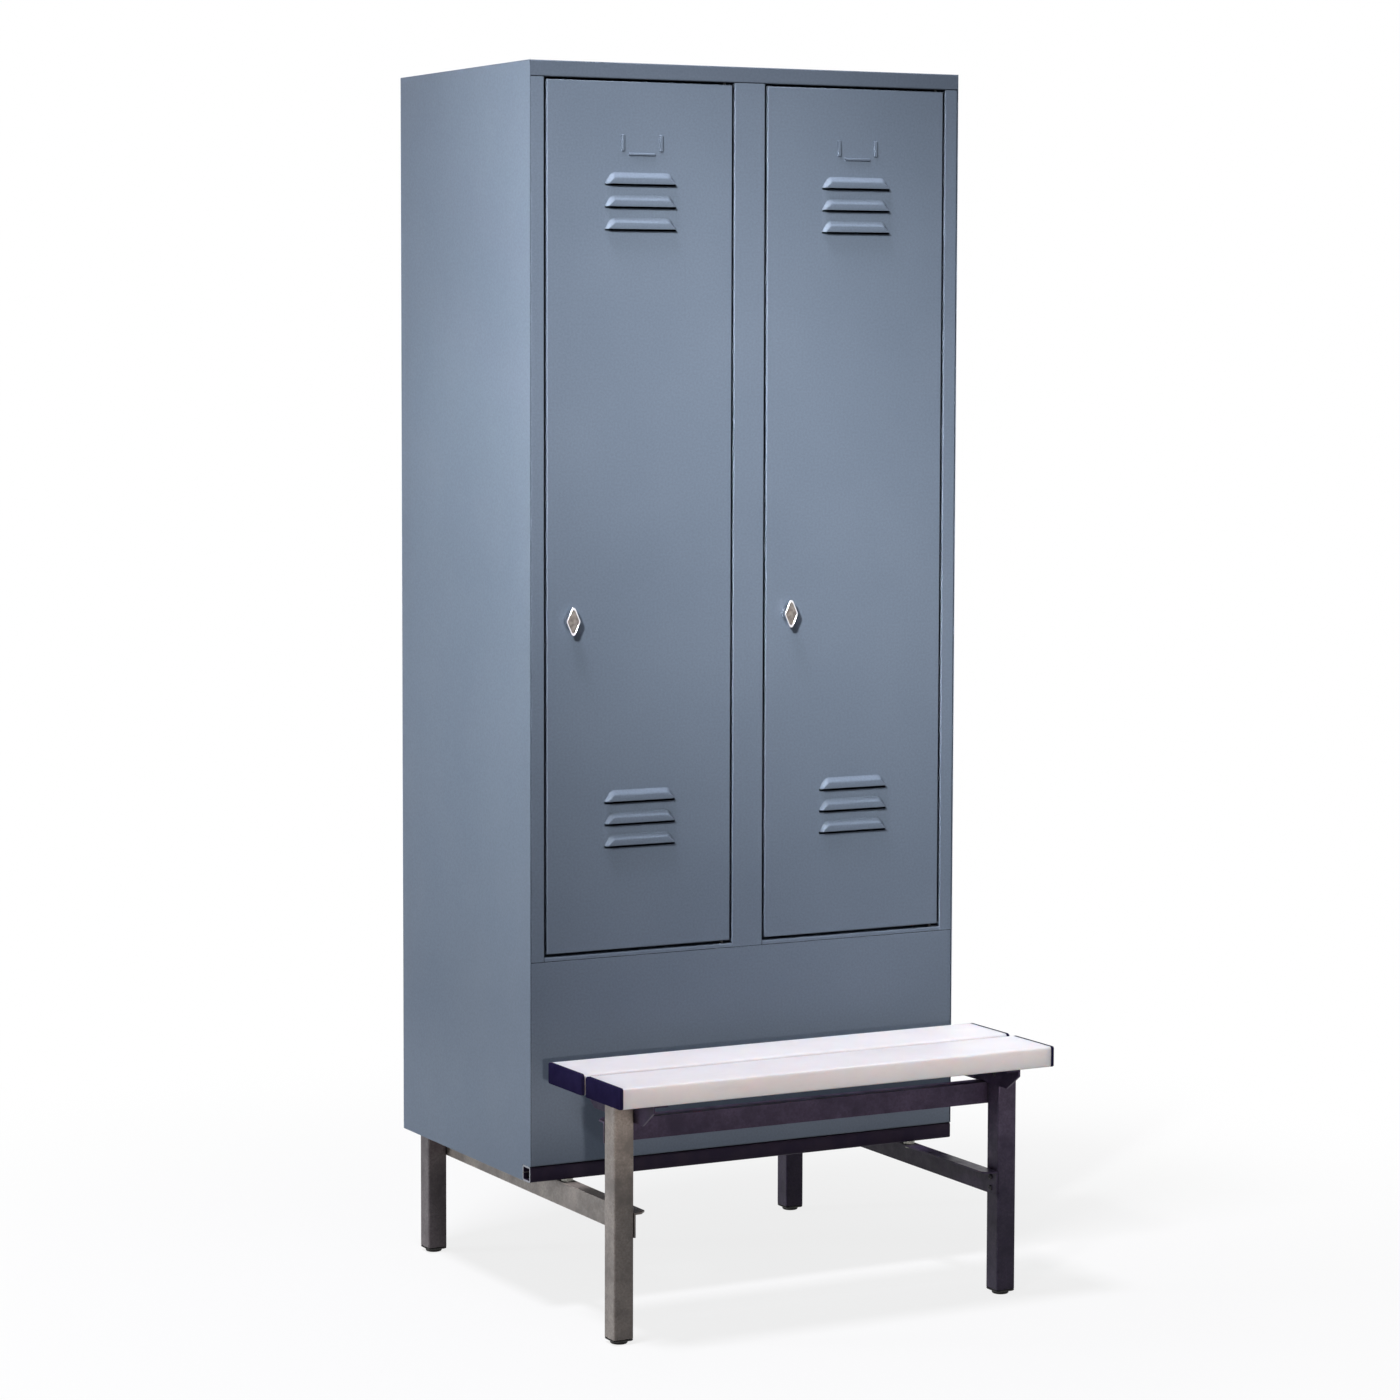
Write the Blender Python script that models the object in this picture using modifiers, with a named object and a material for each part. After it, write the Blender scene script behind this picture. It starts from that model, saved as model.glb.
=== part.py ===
"""Steel locker with two compartments, standing on a tube underframe with a bench built out in front.

Metres, +Z up. The origin is on the floor under the middle of the overall box, the doors face -Y and
+X is to the right of someone who faces them. Both doors hang on pivot pins at their right edges.
"""
import math

import bmesh
import bpy
from mathutils import Matrix, Vector

# Overall form
BODY_WIDTH = 0.810
BODY_DEPTH = 0.500
TOTAL_HEIGHT = 2.040
SEAT_REACH = 0.315
SEAT_HEIGHT = 0.428
FRAME_HEIGHT = 0.211
FIT = 0.0003
OVERRUN = 0.002

# Sheet metal of the body
SHEET = 0.0012
FOLD_RADIUS = 0.0020
SEAM = 0.0005
SIDE_STILE = 0.026
CENTRE_STILE = 0.058
STILE_RETURN = 0.007
HEAD_HEIGHT = 0.026
FLOOR_HEIGHT = 0.587
FLOOR_EDGE = 0.0065
TOP_FLANGE = 0.015
BACK_FLANGE = 0.012
FRONT_PANEL_DEPTH = 0.015
PANEL_LIP = 0.010
SHELF_DEPTH = 0.020
SHELF_DROP = 0.280
SHELF_LIP = 0.008
SHELF_SETBACK = 0.006
BASE_RAIL_HEIGHT = 0.0266
BASE_RAIL_DEPTH = 0.0280
BASE_RAIL_WALL = 0.0020
BASE_RAIL_ROUND = 0.0035
BASE_RAIL_LIP = 0.0065
BASE_RAIL_RECESS = 0.0010

# Doors and their pivots
DOOR_THICKNESS = 0.016
DOOR_GAP = 0.004
DOOR_LIP = 0.012
PIVOT_INSET = 0.012
ROD_RADIUS = 0.003
COLLAR_RADIUS = 0.0060
COLLAR_HEIGHT = 0.010
ROD_REACH = 0.0045
STIFFENER_WIDTH = 0.050
STIFFENER_FLANGE = 0.012
STIFFENER_EDGE = 0.034
STOP_GAP = 0.0015
STOP_WIDTH = 0.012
STOP_LAP = 0.007

# Louvres and label holder pressed in the doors
LOUVRE_WIDTH = 0.132
LOUVRE_HEIGHT = 0.0190
LOUVRE_DEPTH = 0.0070
LOUVRE_TAPER = 0.008
LOUVRE_LEAN = 0.005
LOUVRE_FACE_SHARE = 0.60
LOUVRE_ROUND = 0.0085
LOUVRE_FACE_ROUND = 0.0050
LOUVRE_SLIT = 0.0022
LOUVRE_PITCH = 0.0365
LOUVRE_COUNT = 3
LOUVRE_TOP_DROP = 0.1690
LOUVRE_FOOT_RISE = 0.1775
LABEL_WIDTH = 0.077
LABEL_BAR_WIDTH = 0.0064
LABEL_BAR_HEIGHT = 0.027
LABEL_BAR_PROUD = 0.0016
LABEL_REST_WIDTH = 0.049
LABEL_REST_HEIGHT = 0.0048
LABEL_REST_GAP = 0.0045
LABEL_DROP = 0.087

# Turn latch
KNOB_INSET = 0.0470
KNOB_HEIGHT_ABOVE_SILL = 0.549
KNOB_WIDTH = 0.026
KNOB_LENGTH = 0.060
KNOB_CORNER = 0.0045
KNOB_GRIP_DEPTH = 0.008
KNOB_NECK_RADIUS = 0.0090
KNOB_NECK_LENGTH = 0.0034
KNOB_EDGE = 0.0014
KNOB_DISH = 0.0010
KNOB_DISH_SHARE = 0.66
SPINDLE_RADIUS = 0.0050
SPINDLE_SQUARE = 0.0068
HOUSING_RADIUS = 0.0115
HOUSING_PROUD = 0.0016
HOUSING_BARREL_RADIUS = 0.0095
CAM_THICKNESS = 0.0025
CAM_WIDTH = 0.016
CAM_LENGTH = 0.0410
CAM_CORNER = 0.0030
CAM_BEHIND_STOP = 0.0005
RIVET_RADIUS = 0.0056
RIVET_HEAD = 0.0016

# Coat rails and hooks
COAT_RAIL_RADIUS = 0.008
COAT_RAIL_WALL = 0.0012
COAT_RAIL_DROP = 0.045
RAIL_FLANGE_RADIUS = 0.0140
RAIL_FLANGE = 0.0020
HOOK_COUNT = 2
HOOK_PITCH = 0.085
HOOK_BAND = 0.010
HOOK_BAND_WALL = 0.002
HOOK_WIRE_RADIUS = 0.0022
HOOK_DROP = 0.050
HOOK_BEND = 0.014

# Underframe
LEG_TUBE = 0.035
LEG_WALL = 0.002
LEG_CORNER = 0.003
LEG_INSET = 0.027
LEG_SETBACK = 0.070
REAR_LEG_INSET = 0.010
ANGLE_WALL = 0.003
STRETCHER_WEB = 0.040
STRETCHER_FLANGE = 0.025
CROSS_WEB = 0.035
CROSS_FLANGE = 0.030
REAR_TIE_WEB = 0.032
REAR_TIE_FLANGE = 0.015
REAR_TIE_OFFSET = 0.030
CORNER_CHAMFER = 0.012
SPACER_HEIGHT = 0.005
SPACER_RADIUS = 0.010
BOLT_RADIUS = 0.003
BOLT_HEAD_RADIUS = 0.0065
BOLT_HEAD = 0.0040

# Bench
SLAT_DEPTH = 0.118
SLAT_THICKNESS = 0.034
SLAT_WALL = 0.0025
SLAT_CORNER = 0.005
SLAT_GAP = 0.014
SLAT_CELLS = 3
CAP_PLATE = 0.004
CAP_PLUG = 0.015
CAP_EDGE = 0.0008
BEARER_WEB = 0.038
BEARER_FLANGE = 0.026
BEARER_SETBACK = 0.006
BEARER_EDGE = 0.012
BEARER_CHAMFER = 0.036

# Feet
FOOT_FLANGE = 0.004
FOOT_PAD = 0.005
FOOT_PAD_RADIUS = 0.014
FOOT_PLUG = 0.022
FOOT_EDGE = 0.0008

# Counts of facets
ROUND_STEPS = 20
SMALL_STEPS = 12
CORNER_STEPS = 3

# Places worked out from the sizes
SIDE = BODY_WIDTH / 2
BETWEEN_SIDES = SIDE - SHEET - FIT
FRONT = (SEAT_REACH - BODY_DEPTH) / 2
BACK = FRONT + BODY_DEPTH
SEAT_FRONT = FRONT - SEAT_REACH
BODY_BOTTOM = FRAME_HEIGHT + SPACER_HEIGHT + 2 * FIT
PANEL_BOTTOM = BODY_BOTTOM + BASE_RAIL_HEIGHT + FIT
STILE_BOTTOM = FLOOR_HEIGHT - FLOOR_EDGE
OPENING_TOP = TOTAL_HEIGHT - HEAD_HEIGHT
OPENING_WIDTH = SIDE - SIDE_STILE - CENTRE_STILE / 2
FRAME_DEPTH = DOOR_THICKNESS + STOP_GAP - FIT
STOP_FRONT = FRONT + FRAME_DEPTH + FIT
STOP_BACK = STOP_FRONT + SHEET
INNER_BACK = BACK - BACK_FLANGE - FIT
SHELF_TOP = TOTAL_HEIGHT - SHELF_DROP
COAT_RAIL_HEIGHT = SHELF_TOP - SHELF_DEPTH - COAT_RAIL_DROP
COAT_RAIL_Y = (FRONT + BACK) / 2
LEG_OUTER = SIDE - LEG_INSET
LEG_INNER = LEG_OUTER - LEG_TUBE
FRONT_LEG_Y = SEAT_FRONT + LEG_SETBACK
REAR_LEG_Y = BACK - REAR_LEG_INSET - LEG_TUBE
FOOT_HEIGHT = FOOT_FLANGE + FOOT_PAD
SLAT_BOTTOM = SEAT_HEIGHT - SLAT_THICKNESS
BEARER_TOP = SLAT_BOTTOM - FIT
CROSS_TOP = BEARER_TOP - BEARER_WEB - FIT
SLAT_FRONTS = (SEAT_FRONT, SEAT_FRONT + SLAT_DEPTH + SLAT_GAP)
BEARER_BACK = SLAT_FRONTS[1] + SLAT_DEPTH - BEARER_SETBACK
BASE_RAIL_YS = (FRONT + BASE_RAIL_RECESS, BACK - BASE_RAIL_DEPTH)

# Local axes (u, v, w) of an outline drawn across each world axis
FRAMES = {
    "X": Matrix(((0, 0, 1), (1, 0, 0), (0, 1, 0))),
    "Y": Matrix(((1, 0, 0), (0, 0, -1), (0, 1, 0))),
    "Z": Matrix(((1, 0, 0), (0, 1, 0), (0, 0, 1))),
}


# Scene and materials

def clear_scene():
    for old in list(bpy.data.objects):
        bpy.data.objects.remove(old, do_unlink=True)


def new_collection(name):
    made = bpy.data.collections.new(name)
    bpy.context.scene.collection.children.link(made)
    return made


def to_linear(channel):
    """A colour channel as seen on screen, turned to the linear value that a shader takes."""
    return channel / 12.92 if channel <= 0.04045 else ((channel + 0.055) / 1.055) ** 2.4


def make_material(name, colour, roughness, metallic=0.0):
    made = bpy.data.materials.new(name)
    made.use_nodes = True
    shader = made.node_tree.nodes["Principled BSDF"]
    shader.inputs["Base Color"].default_value = [to_linear(c) for c in colour] + [1.0]
    shader.inputs["Roughness"].default_value = roughness
    shader.inputs["Metallic"].default_value = metallic
    made.diffuse_color = (*colour, 1.0)
    return made


def body_paint():
    return make_material("blue_grey_powder_coat", (0.44, 0.50, 0.57), 0.45)


def inside_paint():
    return make_material("blue_grey_inside", (0.42, 0.48, 0.55), 0.5)


def frame_paint():
    return make_material("dark_grey_powder_coat", (0.28, 0.27, 0.28), 0.5)


def rail_paint():
    return make_material("black_powder_coat", (0.14, 0.12, 0.15), 0.45)


def slat_plastic():
    return make_material("cream_plastic", (0.87, 0.85, 0.84), 0.4)


def cap_plastic():
    return make_material("navy_plastic", (0.17, 0.15, 0.25), 0.45)


def foot_plastic():
    return make_material("black_plastic", (0.05, 0.05, 0.055), 0.5)


def chrome_plate():
    return make_material("chrome", (0.80, 0.80, 0.82), 0.15, 1.0)


def zinc_plate():
    return make_material("zinc_plated_steel", (0.62, 0.62, 0.60), 0.35, 1.0)


# Modelling tools

def place(name, mesh, finish, parent=None):
    """Puts a mesh in the model as a named piece, without moving it when it gets its parent."""
    piece = bpy.data.objects.new(name, mesh)
    parts.objects.link(piece)
    mesh.materials.clear()
    mesh.materials.append(finish)
    if parent is not None:
        piece.parent = parent
        piece.matrix_parent_inverse = parent.matrix_world.inverted()
    return piece


def make_pivot(name, location, parent=None):
    pivot = bpy.data.objects.new(name, None)
    parts.objects.link(pivot)
    pivot.empty_display_size = LEG_TUBE
    if parent is not None:
        pivot.parent = parent
        pivot.matrix_parent_inverse = parent.matrix_world.inverted()
    pivot.location = location
    bpy.context.view_layer.update()
    return pivot


def make_cutter(name, mesh):
    """A mesh that only shapes other pieces, kept out of the model."""
    cutter = bpy.data.objects.new(name, mesh)
    cutters.objects.link(cutter)
    cutter.hide_render = True
    cutter.display_type = "WIRE"
    return cutter


def combine(piece, other, operation):
    step = piece.modifiers.new(operation.lower(), "BOOLEAN")
    step.operation = operation
    step.solver = "EXACT"
    step.object = other


def mesh_of(name, bm):
    bmesh.ops.recalc_face_normals(bm, faces=bm.faces)
    mesh = bpy.data.meshes.new(name)
    bm.to_mesh(mesh)
    bm.free()
    return mesh


def add_block(bm, low, high):
    """Adds a box between two corners to a mesh, and returns its corners."""
    size = Vector(high) - Vector(low)
    centre = (Vector(high) + Vector(low)) / 2
    made = bmesh.ops.create_cube(bm, size=1.0)
    bmesh.ops.scale(bm, vec=size, verts=made["verts"])
    bmesh.ops.translate(bm, vec=centre, verts=made["verts"])
    return made["verts"]


def add_rod(bm, start, direction, length, radius, steps=SMALL_STEPS):
    """Adds a closed cylinder from its start along a direction."""
    turn = Vector((0, 0, 1)).rotation_difference(Vector(direction)).to_matrix().to_4x4()
    middle = Vector(start) + Vector(direction) * length / 2
    bmesh.ops.create_cone(
        bm, cap_ends=True, segments=steps, radius1=radius, radius2=radius, depth=length,
        matrix=Matrix.Translation(middle) @ turn)


def blocks(name, spans):
    """One mesh that holds a box for each pair of corners."""
    bm = bmesh.new()
    for low, high in spans:
        add_block(bm, low, high)
    return mesh_of(name, bm)


def rods(name, ends, radius, steps=SMALL_STEPS):
    """One mesh that holds a cylinder for each (start, direction, length)."""
    bm = bmesh.new()
    for start, direction, length in ends:
        add_rod(bm, start, direction, length, radius, steps)
    return mesh_of(name, bm)


def soften(piece, width, steps=2):
    edge = piece.modifiers.new("edge", "BEVEL")
    edge.width = width
    edge.segments = steps
    edge.limit_method = "ANGLE"
    edge.angle_limit = math.radians(40)
    return edge


def shade_round(piece, angle=35):
    piece.data.shade_smooth()
    piece.data.set_sharp_from_angle(angle=math.radians(angle))


def tray(name, low, high, open_side, lip, finish, parent):
    """A pan folded from sheet: one face of a box is open and may keep a turned-in lip round it."""
    bm = bmesh.new()
    add_block(bm, low, high)
    bm.normal_update()
    side = Vector(open_side)
    opening = max(bm.faces, key=lambda face: face.normal.dot(side))
    front = max(bm.faces, key=lambda face: -face.normal.dot(side))
    folds = list(front.edges)
    if lip:
        bmesh.ops.inset_region(bm, faces=[opening], thickness=lip, use_even_offset=True)
    bmesh.ops.delete(bm, geom=[opening], context="FACES_ONLY")
    bmesh.ops.bevel(bm, geom=folds, offset=FOLD_RADIUS, segments=2, profile=0.5, affect="EDGES")
    mesh = bpy.data.meshes.new(name)
    bm.to_mesh(mesh)
    bm.free()
    piece = place(name, mesh, finish, parent)
    wall = piece.modifiers.new("sheet", "SOLIDIFY")
    wall.thickness = SHEET
    wall.offset = -1.0
    wall.use_even_offset = True
    shade_round(piece, 30)
    return piece


def rounded(points, radius, closed=True):
    """The same outline with each corner turned into an arc of the given radius."""
    made = []
    count = len(points)
    for index, corner in enumerate(points):
        here = Vector(corner)
        if not closed and index in (0, count - 1):
            made.append(here)
            continue
        back = (Vector(points[index - 1]) - here).normalized()
        ahead = (Vector(points[(index + 1) % count]) - here).normalized()
        half = back.angle(ahead) / 2
        start = here + back * radius / math.tan(half)
        centre = here + (back + ahead).normalized() * radius / math.sin(half)
        sweep = (start - centre).angle_signed(here + ahead * radius / math.tan(half) - centre)
        for step in range(CORNER_STEPS + 1):
            turned = (start - centre).copy()
            turned.rotate(Matrix.Rotation(-sweep * step / CORNER_STEPS, 2))
            made.append(centre + turned)
    return made


def rectangle(low, high):
    return [(low[0], low[1]), (high[0], low[1]), (high[0], high[1]), (low[0], high[1])]


def circle(centre, radius, steps=ROUND_STEPS):
    turns = [2 * math.pi * step / steps for step in range(steps)]
    return [(centre[0] + radius * math.cos(a), centre[1] + radius * math.sin(a)) for a in turns]


def extruded_mesh(name, outlines, axis, low, high):
    """A flat outline, with any holes in it, drawn out along a world axis from low to high."""
    curve = bpy.data.curves.new(name, "CURVE")
    curve.dimensions = "2D"
    curve.fill_mode = "BOTH"
    curve.extrude = (high - low) / 2
    for outline in outlines:
        spline = curve.splines.new("POLY")
        spline.points.add(len(outline) - 1)
        for point, place_2d in zip(spline.points, outline):
            point.co = (place_2d[0], place_2d[1], 0.0, 1.0)
        spline.use_cyclic_u = True
    guide = bpy.data.objects.new(name + "_outline", curve)
    cutters.objects.link(guide)
    offset = Vector((0, 0, 0))
    offset["XYZ".index(axis)] = (low + high) / 2
    guide.matrix_world = Matrix.Translation(offset) @ FRAMES[axis].to_4x4()
    bpy.context.view_layer.update()
    shown = guide.evaluated_get(bpy.context.evaluated_depsgraph_get())
    mesh = bpy.data.meshes.new_from_object(shown)
    mesh.transform(guide.matrix_world)
    bpy.data.objects.remove(guide, do_unlink=True)
    bm = bmesh.new()
    bm.from_mesh(mesh)
    bmesh.ops.remove_doubles(bm, verts=bm.verts, dist=0.00001)
    bmesh.ops.recalc_face_normals(bm, faces=bm.faces)
    bm.to_mesh(mesh)
    bm.free()
    mesh.name = name
    return mesh


def extruded(name, outlines, axis, low, high, finish, parent):
    return place(name, extruded_mesh(name, outlines, axis, low, high), finish, parent)


def folded(name, path, axis, low, high, finish, parent, wall=SHEET):
    """Sheet folded along a path across an axis. The path is its outer face, the sheet lies to its left."""
    bm = bmesh.new()
    frame = FRAMES[axis].to_4x4()
    along = frame @ Vector((0, 0, 1))
    direction = 1 if along["XYZ".index(axis)] > 0 else -1
    start, end = (low, high) if direction > 0 else (-high, -low)
    ends = [[bm.verts.new(frame @ Vector((u, v, w))) for u, v in path] for w in (start, end)]
    for index in range(len(path) - 1):
        bm.faces.new((ends[0][index], ends[0][index + 1], ends[1][index + 1], ends[1][index]))
    mesh = bpy.data.meshes.new(name)
    bm.to_mesh(mesh)
    bm.free()
    piece = place(name, mesh, finish, parent)
    shell = piece.modifiers.new("sheet", "SOLIDIFY")
    shell.thickness = wall
    shell.offset = -1.0
    shell.use_even_offset = True
    shade_round(piece, 30)
    return piece


def turned_mesh(name, profile, origin, direction, steps=ROUND_STEPS):
    """A profile of (radius, height) from top to bottom, turned about a direction through an origin."""
    line = bpy.data.meshes.new(name + "_profile")
    points = [(radius, 0.0, height) for radius, height in profile]
    line.from_pydata(points, [(i, i + 1) for i in range(len(points) - 1)], [])
    lathe = bpy.data.objects.new(name + "_profile", line)
    cutters.objects.link(lathe)
    turn = lathe.modifiers.new("turn", "SCREW")
    turn.steps = steps
    turn.render_steps = steps
    turn.use_merge_vertices = True
    turn.merge_threshold = 0.00001
    bpy.context.view_layer.update()
    shown = lathe.evaluated_get(bpy.context.evaluated_depsgraph_get())
    mesh = bpy.data.meshes.new_from_object(shown)
    bpy.data.objects.remove(lathe, do_unlink=True)
    spin = Vector((0, 0, 1)).rotation_difference(Vector(direction)).to_matrix().to_4x4()
    mesh.transform(Matrix.Translation(origin) @ spin)
    bm = bmesh.new()
    bm.from_mesh(mesh)
    bmesh.ops.remove_doubles(bm, verts=bm.verts, dist=0.00001)
    bmesh.ops.recalc_face_normals(bm, faces=bm.faces)
    bm.to_mesh(mesh)
    bm.free()
    mesh.name = name
    return mesh


# Cabinet body

def channel(front, back, low, high, lip, radius):
    """Path of a C-section open to the back: across the top, down the front and back along the foot."""
    path = [(back, high - lip), (back, high), (front, high), (front, low), (back, low), (back, low + lip)]
    return rounded(path, radius, closed=False)


def make_side_panels(paint):
    """Each side is one flat sheet with a notch at its front foot, where the base rail passes through."""
    notch = FRONT + BASE_RAIL_RECESS + BASE_RAIL_DEPTH + FIT
    outline = [(FRONT, PANEL_BOTTOM), (notch, PANEL_BOTTOM), (notch, BODY_BOTTOM), (BACK, BODY_BOTTOM),
               (BACK, TOTAL_HEIGHT), (FRONT, TOTAL_HEIGHT)]
    extruded("left_side_panel", [outline], "X", -SIDE, SHEET - SIDE, paint, cabinet)
    extruded("right_side_panel", [outline], "X", SIDE - SHEET, SIDE, paint, cabinet)


def make_outer_panels(paint):
    tray("back_panel", (-BETWEEN_SIDES, BACK - BACK_FLANGE, PANEL_BOTTOM),
         (BETWEEN_SIDES, BACK, TOTAL_HEIGHT), (0, 1, 0), 0.0, paint, cabinet)
    tray("top_panel", (-BETWEEN_SIDES, FRONT + FRAME_DEPTH + FIT, TOTAL_HEIGHT - TOP_FLANGE),
         (BETWEEN_SIDES, INNER_BACK, TOTAL_HEIGHT), (0, 0, -1), 0.0, paint, cabinet)
    high = (BETWEEN_SIDES, FRONT + FRONT_PANEL_DEPTH, STILE_BOTTOM - SEAM)
    tray("lower_front_panel", (-BETWEEN_SIDES, FRONT, PANEL_BOTTOM), high, (0, 1, 0), PANEL_LIP, paint,
         cabinet)


def make_front_frame(paint):
    """Head rail across the top, a stile at each side and a wide one between the doors."""
    section = channel(FRONT, FRONT + FRAME_DEPTH, OPENING_TOP, TOTAL_HEIGHT, STILE_RETURN, FOLD_RADIUS)
    head = folded("head_rail", section, "X", -BETWEEN_SIDES, BETWEEN_SIDES, paint, cabinet)
    holes = [((x, FRONT + DOOR_THICKNESS / 2, OPENING_TOP - OVERRUN), (0, 0, 1), 2 * OVERRUN + SHEET)
             for x in pivot_places()]
    drills = rods("head_pin_holes", holes, ROD_RADIUS + FIT)
    combine(head, make_cutter("head_pin_holes", drills), "DIFFERENCE")
    spans = {
        "left_stile": (-BETWEEN_SIDES, SIDE_STILE - SIDE),
        "centre_stile": (-CENTRE_STILE / 2, CENTRE_STILE / 2),
        "right_stile": (SIDE - SIDE_STILE, BETWEEN_SIDES),
    }
    back = FRONT + FRAME_DEPTH
    for name, (left, right) in spans.items():
        path = [(left + STILE_RETURN, back), (left, back), (left, FRONT), (right, FRONT), (right, back),
                (right - STILE_RETURN, back)]
        folded(name, rounded(path, FOLD_RADIUS, closed=False), "Z", STILE_BOTTOM, OPENING_TOP - SEAM,
               paint, cabinet)


def make_floor(paint):
    """The compartments' floor is a shallow pan, notched where the three stiles run down past its edge."""
    floor = tray("floor_panel", (-BETWEEN_SIDES, FRONT, STILE_BOTTOM),
                 (BETWEEN_SIDES, INNER_BACK, FLOOR_HEIGHT), (0, 0, -1), 0.0, paint, cabinet)
    deep = FRONT + FRAME_DEPTH + FIT
    spans = [(-SIDE, SIDE_STILE - SIDE + FIT), (-CENTRE_STILE / 2 - FIT, CENTRE_STILE / 2 + FIT),
             (SIDE - SIDE_STILE - FIT, SIDE)]
    notches = [((left, FRONT - OVERRUN, STILE_BOTTOM - OVERRUN), (right, deep, FLOOR_HEIGHT + OVERRUN))
               for left, right in spans]
    combine(floor, make_cutter("floor_notches", blocks("floor_notches", notches)), "DIFFERENCE")
    depth = FRONT + DOOR_THICKNESS / 2
    holes = [((x, depth, FLOOR_HEIGHT - SHEET - OVERRUN), (0, 0, 1), 2 * OVERRUN + SHEET)
             for x in pivot_places()]
    drills = rods("floor_pin_holes", holes, ROD_RADIUS + FIT)
    combine(floor, make_cutter("floor_pin_holes", drills), "DIFFERENCE")


def make_partition(paint):
    low_y = FRONT + FRAME_DEPTH + SHEET + 2 * FIT
    mesh = blocks("centre_partition", [((-SHEET / 2, low_y, FLOOR_HEIGHT + FIT),
                                        (SHEET / 2, INNER_BACK - SHEET - FIT, TOTAL_HEIGHT - SHEET - FIT))])
    place("centre_partition", mesh, paint, cabinet)


def compartment(side):
    """Inner left and right of a compartment, between the outer side sheet and the partition."""
    inner = SHEET / 2 + FIT
    return (-BETWEEN_SIDES, -inner) if side == "left" else (inner, BETWEEN_SIDES)


def make_shelves(paint):
    for side in ("left", "right"):
        left, right = compartment(side)
        tray(side + "_hat_shelf", (left, STOP_BACK + SHELF_SETBACK, SHELF_TOP - SHELF_DEPTH),
             (right, INNER_BACK, SHELF_TOP), (0, 0, -1), SHELF_LIP, paint, cabinet)


def make_coat_rails(plate):
    """A tube across each compartment with a round flange at each end, against the walls."""
    for side in ("left", "right"):
        left, right = compartment(side)
        length = right - left
        bore = COAT_RAIL_RADIUS - COAT_RAIL_WALL
        section = [(bore, length), (RAIL_FLANGE_RADIUS, length), (RAIL_FLANGE_RADIUS, length - RAIL_FLANGE),
                   (COAT_RAIL_RADIUS, length - RAIL_FLANGE), (COAT_RAIL_RADIUS, RAIL_FLANGE),
                   (RAIL_FLANGE_RADIUS, RAIL_FLANGE), (RAIL_FLANGE_RADIUS, 0.0), (bore, 0.0), (bore, length)]
        name = side + "_coat_rail"
        rail = place(name, turned_mesh(name, section, (left, COAT_RAIL_Y, COAT_RAIL_HEIGHT), (1, 0, 0)),
                     plate, cabinet)
        shade_round(rail)


def hook_wire(x):
    """Centre line of one hook: straight down from the rail's foot, round the bend and up to its tip."""
    top = COAT_RAIL_HEIGHT - COAT_RAIL_RADIUS - FIT - HOOK_BAND_WALL / 2
    low = COAT_RAIL_HEIGHT - HOOK_DROP
    turns = [math.pi * step / 6 for step in range(7)]
    y = COAT_RAIL_Y - HOOK_BEND
    bend = [(x, y + HOOK_BEND * math.cos(turn), low - HOOK_BEND * math.sin(turn)) for turn in turns]
    tip = (x, y - HOOK_BEND, low + HOOK_BEND)
    return [(x, COAT_RAIL_Y, top), *bend, tip]


def wire_mesh(name, points, radius):
    curve = bpy.data.curves.new(name, "CURVE")
    curve.dimensions = "3D"
    curve.bevel_depth = radius
    curve.bevel_resolution = 1
    curve.use_fill_caps = True
    spline = curve.splines.new("POLY")
    spline.points.add(len(points) - 1)
    for point, place_3d in zip(spline.points, points):
        point.co = (*place_3d, 1.0)
    guide = bpy.data.objects.new(name + "_line", curve)
    cutters.objects.link(guide)
    bpy.context.view_layer.update()
    mesh = bpy.data.meshes.new_from_object(guide.evaluated_get(bpy.context.evaluated_depsgraph_get()))
    bpy.data.objects.remove(guide, do_unlink=True)
    bm = bmesh.new()
    bm.from_mesh(mesh)
    bpy.data.meshes.remove(mesh)
    bmesh.ops.remove_doubles(bm, verts=bm.verts, dist=0.00001)
    return mesh_of(name, bm)


def make_hooks(plate):
    """Wire hooks on bands round the rails, evenly spaced about the middle of each compartment."""
    bore = COAT_RAIL_RADIUS + FIT
    middle_rail = (COAT_RAIL_Y, COAT_RAIL_HEIGHT)
    for side in ("left", "right"):
        middle = sum(compartment(side)) / 2
        for index in range(HOOK_COUNT):
            x = middle + (index - (HOOK_COUNT - 1) / 2) * HOOK_PITCH
            name = f"{side}_coat_hook_{index + 1}"
            rings = [circle(middle_rail, bore + HOOK_BAND_WALL), circle(middle_rail, bore)]
            hook = extruded(name, rings, "X", x - HOOK_BAND / 2, x + HOOK_BAND / 2, plate, cabinet)
            wire = wire_mesh(name + "_wire", hook_wire(x), HOOK_WIRE_RADIUS)
            combine(hook, make_cutter(name + "_wire", wire), "UNION")
            shade_round(hook)


def make_door_stops(paint):
    """A strip behind each opening's latch side, which the door closes against and the cam grips behind."""
    for side, left in door_lefts().items():
        low = (left - STOP_LAP, STOP_FRONT, FLOOR_HEIGHT + FIT)
        high = (left + STOP_WIDTH, STOP_BACK, OPENING_TOP - FIT)
        place(side + "_door_stop", blocks(side + "_door_stop", [(low, high)]), paint, cabinet)


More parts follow.
